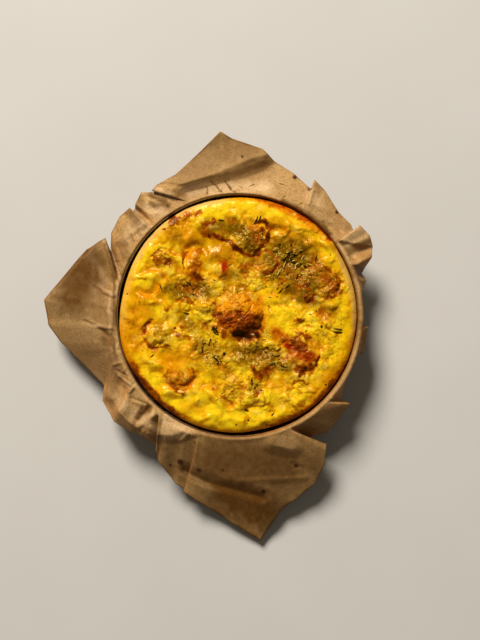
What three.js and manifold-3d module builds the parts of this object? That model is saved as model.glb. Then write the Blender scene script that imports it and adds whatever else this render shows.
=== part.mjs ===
// A round cauliflower quiche in its paper-lined baking tin.
//
// Units are millimetres, +Z is up. The origin is the centre of the tin's flat underside, which stands on the table.
// From the outside in: a straight-sided tin with a rolled rim, one square sheet of baking paper pressed into the tin
// and folded over the rim in loose flaps, a thin pastry case, a set custard filling, and cauliflower florets that
// break through the custard. Herb leaves and pepper are fused to the custard.

import * as THREE from "three";
import { mergeVertices } from "three/addons/utils/BufferGeometryUtils.js";
import Module from "manifold-3d";

const wasm = await Module();
wasm.setup();

// ---------------------------------------------------------------------------------------------- driving dimensions

const GAP = 0.4; // free space kept between neighbouring pieces

const TIN = { insideRadius: 100, height: 45, sheet: 0.9, beadRadius: 1.6, segments: 56 };

const PAPER_THICKNESS = 0.7;
const PAPER_CORNER = 4; // rounding where the paper turns from the tin's floor to its wall
const PAPER_STEPS = 4; // rows of a flap from the rim's roll to its free edge
const PAPER_WIDEST_STEP = 4.2; // degrees between neighbouring columns

const CRUST = { outsideRadius: 97.2, wall: 3.4, floor: 3.5, top: 42.3, wave: 0.7, segments: 66 };

const CUSTARD = { level: 45.6, edgeDrop: 3.2, shoulder: 15, overlap: 0.9, rings: 16 };

// Derived levels and radii.
const BEAD_CENTRE = { r: TIN.insideRadius + TIN.beadRadius, z: TIN.height - TIN.beadRadius };
const ROLL_RADIUS = TIN.beadRadius + GAP + PAPER_THICKNESS; // the paper's upper face round the tin's bead
const CREST_Z = BEAD_CENTRE.z + ROLL_RADIUS;
const PAPER_WALL_RADIUS = BEAD_CENTRE.r - ROLL_RADIUS; // the paper's face towards the quiche
const PAPER_FLOOR = TIN.sheet + GAP + PAPER_THICKNESS;
const CRUST_FLOOR = PAPER_FLOOR + GAP;
const CUSTARD_FLOOR = CRUST_FLOOR + CRUST.floor + GAP;
const CUSTARD_RADIUS = CRUST.outsideRadius - CRUST.wall - GAP;

// The free edge of the baking paper, flap by flap, anticlockwise from the right. Each point is
// [angle on the rim, angle of the edge point, its reach from the axis, its drop below the rim's crest, bulge].
// Neighbouring flaps meet in pleats, where the edge angle runs back for one point: the flap with the smaller drop
// lies on top, and the sheet doubles back under it.
const FLAPS = {
  rightFold: [
    [8, 7.9, 102.6, 22, 0],
    [13, 12.5, 107.6, 13, 0],
    [16, 15.5, 111, 13, 0],
    [19.5, 19, 110, 18, -1],
  ],
  rightPleat: [
    [21, 20.4, 112.6, 15, -1],
    [24.5, 23.6, 121.5, 9, 2],
    [28.5, 27.4, 126.5, 12, -2],
    [33, 31.5, 128, 7, 0],
    [36.5, 36.7, 125.5, 3, 1],
    [37, 34.6, 118, 10, 0],
  ],
  upperRight: [
    [38.5, 39, 121, 10, 0],
    [46, 45.6, 120, 9, 1],
    [53, 55.5, 126.5, 6, 1],
    [58.5, 60.7, 129, 3, 1],
    [59, 57.8, 121, 8, 0],
  ],
  top: [
    [60.5, 62, 122.5, 9, 0],
    [67, 68.7, 127.5, 10, 0],
    [76, 77, 132.5, 10, -1],
    [83, 81.8, 140, 8, -3],
    [92, 92.2, 147.5, 6, -4],
    [97, 95.6, 153.5, 3, -5],
    [103, 104.5, 138, 5, -2.5],
    [108, 114, 128, 5, -1],
    [112, 122, 128, 3, 1],
    [113.2, 124.8, 126, 3, 1],
    [113.8, 120.5, 120, 9, 0],
  ],
  upperLeft: [
    [117, 125.8, 126.5, 9, 0],
    [122, 128.4, 130.5, 6, 1],
    [130, 132.6, 127, 9, 0],
    [133.2, 133.9, 125.5, 13, -1],
    [133.8, 137, 122, 14, 0],
  ],
  leftPleat: [
    [134.6, 135.3, 126.8, 4, 1],
    [143, 140, 129, 8, 1],
    [152, 147, 127, 11, 0],
    [163, 153.5, 120, 15, -1],
  ],
  left: [
    [165.5, 149.7, 127.5, 4, 2],
    [169, 156.5, 139, 11, -1],
    [176, 172.6, 160, 19, 0],
    [180.5, 175.3, 165, 21, 0],
    [187, 182.8, 162, 24, 1],
    [192, 188.4, 153, 25, 1],
    [198, 198.6, 137, 26, 0],
    [202, 207.3, 129, 25, -1],
  ],
  lowerLeft: [
    [206, 212, 136, 23, -3],
    [210, 216, 136.5, 20, -3],
    [214, 220.4, 137, 12, 3],
    [220, 226.4, 134, 15, 1],
    [224, 230, 130.5, 16, -1],
    [228.5, 234, 130, 16, 2],
    [229.6, 241.5, 131, 21, 0],
  ],
  bottomLeft: [
    [230.6, 238.5, 132.5, 12, 3],
    [236, 241, 140, 17, 2],
    [244, 249.5, 153, 27, 1],
    [250.5, 255.6, 158, 31, 0],
  ],
  bottom: [
    [251.8, 252.6, 157.5, 26, 1],
    [258, 266.6, 176, 35, 1],
    [271, 275.5, 196, 39, 0],
    [281, 282.3, 171, 33, 1],
    [286, 287.6, 164, 29, 1],
    [290, 294.4, 157, 25, 1],
    [292, 299.9, 146, 20, 2],
    [293.4, 304.4, 131, 14, 2],
    [294, 300, 119, 19, 0],
  ],
  lowerRight: [
    [299, 307.5, 124, 21, 0],
    [304, 312.1, 122.5, 19, 0],
    [315, 321.7, 119, 12, 1],
    [317, 320.5, 112, 23, 0],
    [327, 327, 108, 26, 0],
    [342, 342, 105.5, 27, 0],
  ],
  tab: [
    [343.5, 343, 110, 11, 1],
    [353.5, 355.2, 109, 10, 1],
    [355, 355.5, 105.2, 25, 0],
  ],
};

// Florets that break through the custard: centre, half sizes along and across, turn in degrees, how far the crown
// stands above the custard's mean level, and how finely it is faceted.
const FLORETS = [
  { name: "floret_centre", at: [0, 1], half: [20, 17.5], turn: 12, rise: 8.5, detail: 3 },
  { name: "floret_right", at: [53.5, -30.5], half: [16, 12.4], turn: -62, rise: 4.2, detail: 2 },
  { name: "floret_top", at: [11, 64], half: [13.8, 12.6], turn: 20, rise: 2.8, detail: 2 },
  { name: "floret_top_stalk", at: [-15.8, 68.5], half: [11.3, 5.6], turn: -28, rise: 1.8, detail: 1 },
  { name: "floret_far_left", at: [-63.2, 47.3], half: [8, 7], turn: 35, rise: 2.2, detail: 1 },
  { name: "floret_upper_left", at: [-36.5, 41.8], half: [11.3, 9.4], turn: 70, rise: 3.2, detail: 2 },
  { name: "floret_left", at: [-66.5, -16], half: [12, 10.8], turn: 60, rise: 2.6, detail: 2 },
  { name: "floret_lower_left", at: [-48.7, -50], half: [12.8, 9.2], turn: -5, rise: 3.4, detail: 2 },
  { name: "floret_mid_left", at: [-44.5, 9], half: [8, 7], turn: 10, rise: 2.4, detail: 1 },
  { name: "floret_upper_right", at: [22.7, 40], half: [11.6, 8.6], turn: 10, rise: 2.6, detail: 2 },
  { name: "floret_far_right", at: [73.5, 27], half: [13.6, 11], turn: -60, rise: 3.0, detail: 2 },
  { name: "floret_mid_right", at: [55, 17], half: [6.8, 6.2], turn: 0, rise: 1.8, detail: 1 },
  { name: "floret_lower", at: [0.5, -55], half: [11.5, 8.5], turn: 15, rise: 2.6, detail: 2 },
  { name: "floret_lower_right", at: [20.3, -45], half: [8, 6.5], turn: 25, rise: 2.2, detail: 1 },
  { name: "floret_low_far_right", at: [50, -57], half: [6, 5], turn: 20, rise: 1.4, detail: 1 },
];
const FLORET_KNOBS = 26;
const FLORET_CLEARANCE = 0.45;

// Broad swells (+) and hollows (-) of the custard: [x, y, radius, height].
const SWELLS = [
  [42, -12, 16, 1.9],
  [67, -8, 13, 1.2],
  [-19, -71, 16, 1.7],
  [13, -70, 13, 1.2],
  [-62, -62, 12, 0.8],
  [-77, 13, 12, 1.4],
  [-71, 32, 11, 1.0],
  [38, 81, 14, 1.2],
  [-27, 9, 12, 1.7],
  [-33, -33, 12, 1.4],
  [-13, 50, 12, 1.8],
  [78, 48, 12, 1.2],
  [48, 41, 16, -2.4],
  [50, 18, 10, -1.6],
  [-26, -28, 10, -1.4],
  [19, -30, 11, -1.6],
  [-22, 62, 10, -1.3],
  [4, -17, 9, -2.6],
  [-42, 23, 9, -1.4],
  [0, -72, 7, -1.5],
];

// Patches of herb leaves: [x, y, spread, count].
const HERB_PATCHES = [
  [50, 42, 15, 9],
  [14, 82, 6, 2],
  [-42, 25, 8, 3],
  [-22, -12, 8, 2],
  [-25, -29, 9, 4],
  [32, -38, 10, 3],
  [8, -74, 11, 3],
  [80, -12, 6, 2],
];
const HERB = { length: [4.5, 8.5], width: 1.3, height: 0.9, seed: 11 };

const COLOURS = {
  tin: 0x8b8d90,
  paper: 0xb98c58,
  crust: 0xd9a65a,
  custard: 0xecb32a,
  floret: 0xcf9440,
  browned: 0x9b5416,
};

// ------------------------------------------------------------------------------------------------- small functions

const radians = (degrees) => (degrees * Math.PI) / 180;
const mix = (a, b, share) => a + (b - a) * share;
const smooth = (x) => x * x * (3 - 2 * x);
const clamp01 = (x) => Math.min(1, Math.max(0, x));

// A repeatable draw of numbers from 0 to 1.
function randomFrom(seed) {
  let state = seed >>> 0;
  return () => {
    state = (state + 0x6d2b79f5) >>> 0;
    let t = state;
    t = Math.imul(t ^ (t >>> 15), t | 1);
    t ^= t + Math.imul(t ^ (t >>> 7), t | 61);
    return ((t ^ (t >>> 14)) >>> 0) / 4294967296;
  };
}

// A smooth irregular ripple of about unit height and the given wavelength.
function ripple(x, y, wavelength, phase) {
  const f = (2 * Math.PI) / wavelength;
  const bend = Math.sin(0.53 * f * y + 1.7 * phase);
  const sway = Math.sin(0.61 * f * x - 1.3 * phase);
  return 0.5 * (Math.sin(f * x + 1.6 * bend + phase) + Math.sin(f * y + 1.5 * sway - 2 * phase));
}

// The geometry of a closed solid from its points and triangles, turned so that its faces point out.
function closedGeometry(points, triangles) {
  let volume = 0;
  for (const [a, b, c] of triangles) volume += points[a].dot(points[b].clone().cross(points[c]));
  const outward = volume > 0 ? triangles : triangles.map(([a, b, c]) => [a, c, b]);
  const geometry = new THREE.BufferGeometry();
  geometry.setAttribute("position", new THREE.Float32BufferAttribute(points.flatMap((p) => p.toArray()), 3));
  geometry.setIndex(outward.flat());
  return geometry;
}

// A round solid: pathAt(angle) gives the points of its outline at that angle, from the axis and back to the axis.
function roundSolid(pathAt, angles) {
  const points = [];
  const columns = angles.map((angle) => {
    const path = pathAt(angle);
    const inner = path.slice(1, -1);
    inner.forEach((p) => points.push(p));
    return { first: points.length - inner.length, count: inner.length };
  });
  const path = pathAt(angles[0]);
  const start = points.push(path[0]) - 1;
  const end = points.push(path[path.length - 1]) - 1;
  const triangles = [];
  columns.forEach(({ first, count }, i) => {
    const next = columns[(i + 1) % columns.length].first;
    triangles.push([start, first, next], [end, next + count - 1, first + count - 1]);
    for (let j = 0; j + 1 < count; j++) {
      triangles.push([first + j, first + j + 1, next + j + 1], [first + j, next + j + 1, next + j]);
    }
  });
  return closedGeometry(points, triangles);
}

const evenAngles = (count) => Array.from({ length: count }, (_, i) => (2 * Math.PI * i) / count);
const polar = (angle, r, z) => new THREE.Vector3(r * Math.cos(angle), r * Math.sin(angle), z);

// A three.js geometry as a manifold-3d solid, and back.
function toSolid(geometry) {
  const bare = geometry.clone();
  bare.deleteAttribute("normal");
  bare.deleteAttribute("uv");
  const merged = mergeVertices(bare, 1e-4);
  return new wasm.Manifold(
    new wasm.Mesh({
      numProp: 3,
      vertProperties: merged.getAttribute("position").array,
      triVerts: new Uint32Array(merged.index.array),
    }),
  );
}

function fromSolid(solid) {
  const mesh = solid.getMesh();
  const geometry = new THREE.BufferGeometry();
  geometry.setAttribute("position", new THREE.BufferAttribute(mesh.vertProperties, 3));
  geometry.setIndex(new THREE.BufferAttribute(mesh.triVerts, 1));
  return geometry;
}

// -------------------------------------------------------------------------------------------------------- the tin

function tinGeometry() {
  const { insideRadius, height, sheet, beadRadius, segments } = TIN;
  const outside = insideRadius + sheet;
  const profile = [new THREE.Vector2(0, 0), new THREE.Vector2(outside, 0)];
  for (let i = 0; i <= 5; i++) {
    const a = mix(-115, 180, i / 5);
    const bead = [Math.cos(radians(a)) * beadRadius, Math.sin(radians(a)) * beadRadius];
    profile.push(new THREE.Vector2(BEAD_CENTRE.r + bead[0], BEAD_CENTRE.z + bead[1]));
  }
  profile.push(new THREE.Vector2(insideRadius, sheet), new THREE.Vector2(0, sheet));
  return new THREE.LatheGeometry(profile, segments).rotateX(Math.PI / 2);
}

// ------------------------------------------------------------------------------------------------- the baking paper

const FLAP_POINTS = Object.values(FLAPS).flat();

// The free edge at a rim angle in degrees: its place, drop and bulge.
function flapEdge(rimAngle) {
  const count = FLAP_POINTS.length;
  let i = FLAP_POINTS.findIndex((p) => p[0] > rimAngle);
  if (i === -1) i = 0;
  const before = FLAP_POINTS[(i + count - 1) % count];
  const after = FLAP_POINTS[i];
  const span = (after[0] - before[0] + 360) % 360;
  const share = ((rimAngle - before[0] + 360) % 360) / span;
  const [from, to] = [before, after].map((p) => polar(radians(p[1]), p[2], 0));
  return {
    place: from.lerp(to, share),
    drop: mix(before[3], after[3], share),
    bulge: mix(before[4], after[4], share),
  };
}

// The paper's upper face over the rim and out along a flap, with the lower face one thickness behind it.
// It follows the tin's bead until the line to the free edge leaves it, and then runs straight with a bulge.
function flapFaces(angle) {
  const { place, drop, bulge } = flapEdge((angle * 180) / Math.PI);
  const reach = Math.hypot(place.x, place.y);
  const toEdge = { r: reach - BEAD_CENTRE.r, z: CREST_Z - drop - BEAD_CENTRE.z };
  const away = Math.hypot(toEdge.r, toEdge.z);
  const leave = Math.min(Math.PI / 2, Math.atan2(toEdge.z, toEdge.r) + Math.acos(ROLL_RADIUS / away));
  const crest = polar(angle, BEAD_CENTRE.r, 0);
  const onRoll = (turn) => ({ r: Math.cos(turn) * ROLL_RADIUS, z: Math.sin(turn) * ROLL_RADIUS, turn });
  const steps = [onRoll(Math.PI / 2), onRoll(mix(Math.PI / 2, leave, 0.55)), onRoll(leave)];
  const start = steps[2];
  for (let k = 1; k <= PAPER_STEPS; k++) {
    const share = k / PAPER_STEPS;
    const lift = bulge * 4 * share * (1 - share);
    steps.push({
      r: mix(start.r, toEdge.r, share) + lift * Math.cos(leave),
      z: mix(start.z, toEdge.z, share) + lift * Math.sin(leave),
      turn: leave,
    });
  }
  const face = (thickness) =>
    steps.map(({ r, z, turn }) => {
      const share = (r - thickness * Math.cos(turn)) / toEdge.r;
      const p = crest.clone().lerp(place, share);
      return p.setZ(BEAD_CENTRE.z + z - thickness * Math.sin(turn));
    });
  return { upper: face(0), lower: face(PAPER_THICKNESS) };
}

function paperPath(angle) {
  const { upper, lower } = flapFaces(angle);
  const inside = (offset) => [
    new THREE.Vector3(0, 0, PAPER_FLOOR - offset),
    polar(angle, PAPER_WALL_RADIUS + offset - PAPER_CORNER, PAPER_FLOOR - offset),
    polar(angle, PAPER_WALL_RADIUS + offset, PAPER_FLOOR - offset + PAPER_CORNER),
    polar(angle, PAPER_WALL_RADIUS + offset, BEAD_CENTRE.z - 0.3),
    polar(
      angle,
      BEAD_CENTRE.r + (ROLL_RADIUS - offset) * Math.cos(radians(140)),
      BEAD_CENTRE.z + (ROLL_RADIUS - offset) * Math.sin(radians(140)),
    ),
  ];
  return [...inside(PAPER_THICKNESS), ...lower, ...upper.reverse(), ...inside(0).reverse()];
}

// A column at every point of the free edge, and between them wherever the step would be wide.
function paperAngles() {
  const angles = [];
  FLAP_POINTS.forEach((point, i) => {
    const next = FLAP_POINTS[(i + 1) % FLAP_POINTS.length][0] + (i + 1 === FLAP_POINTS.length ? 360 : 0);
    const pieces = Math.max(1, Math.round((next - point[0]) / PAPER_WIDEST_STEP));
    for (let k = 0; k < pieces; k++) angles.push(radians(mix(point[0], next, k / pieces)));
  });
  return angles;
}

// ------------------------------------------------------------------------------------------------- the pastry case

const crustTop = (angle) => CRUST.top + CRUST.wave * (Math.sin(5 * angle + 0.6) + 0.6 * Math.sin(11 * angle));
const crustRadius = (angle) => CRUST.outsideRadius + 0.35 * Math.sin(3 * angle + 1.1) + 0.2 * Math.sin(8 * angle);

function crustPath(angle) {
  const outside = crustRadius(angle);
  const inside = CUSTARD_RADIUS + GAP;
  const top = crustTop(angle);
  const rimRound = 1.1;
  return [
    new THREE.Vector3(0, 0, CRUST_FLOOR),
    polar(angle, outside - PAPER_CORNER - 1, CRUST_FLOOR),
    polar(angle, outside, CRUST_FLOOR + PAPER_CORNER + 1),
    polar(angle, outside, top - rimRound),
    polar(angle, outside - rimRound, top),
    polar(angle, inside, top),
    polar(angle, inside, CRUST_FLOOR + CRUST.floor),
    new THREE.Vector3(0, 0, CRUST_FLOOR + CRUST.floor),
  ];
}

// ----------------------------------------------------------------------------------------------------- the custard

// How far the custard runs out over the pastry rim: little, but up to the paper at the upper right.
function custardOverlap(angle) {
  const away = Math.abs(((angle - radians(44) + 3 * Math.PI) % (2 * Math.PI)) - Math.PI);
  const flood = smooth(clamp01(1 - away / radians(30)));
  return CUSTARD.overlap + 3.3 * flood + 0.4 * Math.sin(7 * angle + 2) * (1 - flood);
}

function custardHeight(x, y) {
  const r = Math.hypot(x, y);
  const rim = CUSTARD_RADIUS + custardOverlap(Math.atan2(y, x));
  const shoulder = clamp01((r - rim + CUSTARD.shoulder) / CUSTARD.shoulder);
  const inward = 1 - shoulder * shoulder;
  let z = CUSTARD.level - CUSTARD.edgeDrop * shoulder ** 2.4;
  for (const [sx, sy, radius, height] of SWELLS) {
    const d = Math.hypot(x - sx, y - sy) / radius;
    if (d < 1.6) z += height * Math.exp(-2.2 * d * d) * inward;
  }
  z += (0.55 * ripple(x, y, 23, 0.4) + 0.4 * ripple(x, y, 12.5, 2.1)) * mix(0.25, 1, inward);
  return z;
}

// The custard's top as rings of points, six more in each ring, closed by its side and its flat underside.
function custardBody() {
  const points = [new THREE.Vector3(0, 0, custardHeight(0, 0))];
  const triangles = [];
  const ringStart = (k) => (k === 0 ? 0 : 1 + 3 * k * (k - 1));
  for (let k = 1; k <= CUSTARD.rings; k++) {
    for (let i = 0; i < 6 * k; i++) {
      const angle = (2 * Math.PI * i) / (6 * k);
      const r = ((CUSTARD_RADIUS + custardOverlap(angle)) * k) / CUSTARD.rings;
      const p = polar(angle, r, 0);
      points.push(p.setZ(custardHeight(p.x, p.y)));
    }
    for (let side = 0; side < 6; side++) {
      for (let i = 0; i < k; i++) {
        const outer = ringStart(k) + ((side * k + i) % (6 * k));
        const outerNext = ringStart(k) + ((side * k + i + 1) % (6 * k));
        const inner = k === 1 ? 0 : ringStart(k - 1) + ((side * (k - 1) + i) % (6 * (k - 1)));
        triangles.push([inner, outer, outerNext]);
        if (i + 1 < k) {
          const innerNext = ringStart(k - 1) + ((side * (k - 1) + i + 1) % (6 * (k - 1)));
          triangles.push([inner, outerNext, innerNext]);
        }
      }
    }
  }
  const count = 6 * CUSTARD.rings;
  let above = ringStart(CUSTARD.rings);
  const sidePath = (angle) => {
    const lip = crustTop(angle) + GAP;
    return [
      polar(angle, CUSTARD_RADIUS + custardOverlap(angle) - 0.2, lip),
      polar(angle, CUSTARD_RADIUS, lip),
      polar(angle, CUSTARD_RADIUS, CUSTARD_FLOOR),
    ];
  };
  for (let row = 0; row < 3; row++) {
    const below = points.length;
    for (let i = 0; i < count; i++) points.push(sidePath((2 * Math.PI * i) / count)[row]);
    for (let i = 0; i < count; i++) {
      const next = (i + 1) % count;
      triangles.push([above + i, below + i, below + next], [above + i, below + next, above + next]);
    }
    above = below;
  }
  const centre = points.push(new THREE.Vector3(0, 0, CUSTARD_FLOOR)) - 1;
  for (let i = 0; i < count; i++) triangles.push([above + i, centre, above + ((i + 1) % count)]);
  return toSolid(closedGeometry(points, triangles));
}

// A herb leaf: a long pointed lens, half sunk in the custard.
function herbLeaf(x, y, length, turn) {
  const leaf = new THREE.OctahedronGeometry(0.5);
  leaf.scale(length, HERB.width, HERB.height).rotateZ(turn);
  return toSolid(leaf.translate(x, y, custardHeight(x, y) + 0.15));
}

function nearFloret(x, y, margin) {
  return FLORETS.some(({ at, half }) => Math.hypot(x - at[0], y - at[1]) < half[0] + margin);
}

function herbLeaves() {
  const random = randomFrom(HERB.seed);
  const leaves = [];
  for (const [cx, cy, spread, count] of HERB_PATCHES) {
    for (let made = 0, tries = 0; made < count && tries < 60; tries++) {
      const [angle, away] = [2 * Math.PI * random(), spread * Math.sqrt(random())];
      const [x, y] = [cx + away * Math.cos(angle), cy + away * Math.sin(angle)];
      const length = mix(...HERB.length, random());
      const turn = Math.PI * random();
      if (nearFloret(x, y, length / 2 + 0.6) || Math.hypot(x, y) > CUSTARD_RADIUS - 6) continue;
      leaves.push(herbLeaf(x, y, length, turn));
      made++;
    }
  }
  return leaves;
}

// ----------------------------------------------------------------------------------------------------- the florets

// Random knob directions on the crown of a floret.
function knobDirections(seed) {
  const random = randomFrom(seed);
  return Array.from({ length: FLORET_KNOBS }, () => {
    const up = mix(-0.2, 1, random());
    const angle = 2 * Math.PI * random();
    const across = Math.sqrt(1 - up * up);
    return new THREE.Vector3(across * Math.cos(angle), across * Math.sin(angle), up);
  });
}

// A floret: a rounded crown of knobs over a shallow rounded root, grown by `extra` all round.
function floretGeometry(floret, index, extra = 0) {
  const { at, half, turn, rise, detail } = floret;
  const knobs = knobDirections(100 + index);
  const crown = rise + CUSTARD.level - floretSeat(floret);
  const root = Math.min(10, 0.6 * half[1]);
  const geometry = new THREE.IcosahedronGeometry(1, detail);
  geometry.deleteAttribute("normal");
  geometry.deleteAttribute("uv");
  const place = geometry.getAttribute("position");
  const d = new THREE.Vector3();
  for (let i = 0; i < place.count; i++) {
    d.fromBufferAttribute(place, i).normalize();
    const nearest = Math.min(...knobs.map((k) => k.angleTo(d)));
    const knob = 1 + 0.12 * (clamp01(1 - (nearest / 0.5) ** 2) - 0.5);
    const size = new THREE.Vector3(half[0], half[1], d.z > 0 ? crown : root);
    const p = d.clone().multiply(size).multiplyScalar(knob);
    p.addScaledVector(p.clone().normalize(), extra);
    place.setXYZ(i, p.x, p.y, p.z);
  }
  const merged = mergeVertices(geometry, 1e-4);
  return merged.rotateZ(radians(turn)).translate(at[0], at[1], floretSeat(floret));
}

// The level of a floret's widest girth, just under the custard round it.
function floretSeat({ at, half }) {
  return custardHeight(...at) - 0.12 * half[1] - 0.5;
}

function custardGeometry() {
  let solid = custardBody();
  for (const leaf of herbLeaves()) solid = solid.add(leaf);
  FLORETS.forEach((floret, i) => {
    solid = solid.subtract(toSolid(floretGeometry(floret, i, FLORET_CLEARANCE)));
  });
  const [largest] = solid.decompose().sort((a, b) => b.volume() - a.volume());
  return fromSolid(largest);
}

// -------------------------------------------------------------------------------------------------- the whole part

function material(color, roughness, metalness = 0) {
  return new THREE.MeshStandardMaterial({ color, roughness, metalness });
}

const quiche = new THREE.Group();

function addPiece(name, geometry, surface) {
  const mesh = new THREE.Mesh(geometry, surface);
  mesh.name = name;
  quiche.add(mesh);
}

addPiece("tin", tinGeometry(), material(COLOURS.tin, 0.4, 0.9));
addPiece("baking_paper", roundSolid(paperPath, paperAngles()), material(COLOURS.paper, 0.85));
addPiece("pastry_case", roundSolid(crustPath, evenAngles(CRUST.segments)), material(COLOURS.crust, 0.8));
addPiece("custard", custardGeometry(), material(COLOURS.custard, 0.45));
FLORETS.forEach((floret, i) => {
  const browned = floret.rise > 4;
  addPiece(floret.name, floretGeometry(floret, i), material(browned ? COLOURS.browned : COLOURS.floret, 0.6));
});

export default quiche;
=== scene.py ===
"""A round cauliflower quiche in its paper-lined baking tin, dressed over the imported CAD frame.

Lengths in the tables are millimetres in the frame's own axes: +Z up, the origin under the middle of the tin.
"""

import math
import random

import bmesh
import bpy
import numpy as np
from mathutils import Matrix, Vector
from mathutils.bvhtree import BVHTree


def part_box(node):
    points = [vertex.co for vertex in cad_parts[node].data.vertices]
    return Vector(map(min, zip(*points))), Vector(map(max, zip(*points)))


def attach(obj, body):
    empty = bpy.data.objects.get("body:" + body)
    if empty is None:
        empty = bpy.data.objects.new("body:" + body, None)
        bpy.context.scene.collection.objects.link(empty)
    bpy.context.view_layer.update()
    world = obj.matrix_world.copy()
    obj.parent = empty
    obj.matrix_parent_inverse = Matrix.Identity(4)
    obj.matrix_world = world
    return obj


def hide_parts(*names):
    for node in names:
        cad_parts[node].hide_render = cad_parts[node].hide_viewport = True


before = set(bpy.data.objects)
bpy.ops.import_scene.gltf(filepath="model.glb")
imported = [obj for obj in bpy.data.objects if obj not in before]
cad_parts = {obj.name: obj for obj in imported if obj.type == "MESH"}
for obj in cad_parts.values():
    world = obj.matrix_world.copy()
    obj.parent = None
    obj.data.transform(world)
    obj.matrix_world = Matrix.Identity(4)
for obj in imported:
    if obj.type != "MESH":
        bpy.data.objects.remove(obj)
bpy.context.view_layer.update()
MM = 0.001


def box_mm(node):
    """A CAD node's lowest and highest corners in millimetres."""
    return [np.array(corner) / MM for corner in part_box(node)]


# ---------- driving sizes

CENTRE_HOLE = 0.02  # round pieces are closed to a hole of this radius in their middle

TIN_BEAD_RADIUS = 1.6
TIN_SHEET = 0.5
TIN_FOOT = 1.5  # rounding of the foot
TIN_INSET = 0.7  # from the middle of the rolled rim to the wall's outer face
TIN_COLUMNS = 240
BEAD_R = box_mm("tin")[1][0] - TIN_BEAD_RADIUS  # the middle of the rolled rim
BEAD_Z = box_mm("tin")[1][2] - TIN_BEAD_RADIUS

PAPER_THICKNESS = 0.16
PAPER_WALL = 100.6  # the radius of its upright wall
WALL_LEAN = 1.45  # how far one side of the wall stands in
ROLL_RADIUS = 2.7  # the paper's upper face round the tin's bead
CREST_Z = BEAD_Z + ROLL_RADIUS
PAPER_FLOOR = box_mm("baking_paper")[0][2] + 0.35
LOWEST_PAPER = 1.2  # no flap hangs lower
PAPER_CORNER = 4  # rounding between floor and wall
COLUMN_STEP = 0.42  # degrees between columns of the paper
FLAP_ROWS = 54

CRUST_RADIUS = 97.2
CRUST_WALL = 3.4
CRUST_LIP = 1.4  # rounding of the rim
CRUST_TOP = 42.3
CRUST_FLOOR = box_mm("pastry_case")[0][2]
CRUST_COLUMNS = 720

CUSTARD_FLOOR = box_mm("custard")[0][2]
CUSTARD_RADIUS = CRUST_RADIUS - CRUST_WALL - 0.4
CUSTARD_LEVEL = 45.6
CUSTARD_RINGS = 180
EDGE_DROP = 3.2  # how far the custard has fallen at its edge
SHOULDER = 10  # the width over which it falls
LUMP, CURD, CRUMB, GRAIN = 14, 7.4, 3.6, 1.9  # widths of the rounded forms in its skin

BROWN_SEED = 31  # the brown strokes wander alike in colour and in relief
WIDEST_GROOVE = 2.3  # brown strokes of a smaller half width are grooves too

PEPPER_GRAINS = 150
PEPPER_SPREAD = 88
LEAF_LIFT = 0.12  # leaves and grains stand this far clear of the surface
LEAF_TILT = 9  # and lean by up to this many degrees
LEAF_ARCH = 0.042  # the rise of a leaf's middle over its length
ABOVE_ALL = 0.2  # a height in metres that clears the whole quiche


# ---------- shapes and colours

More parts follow.
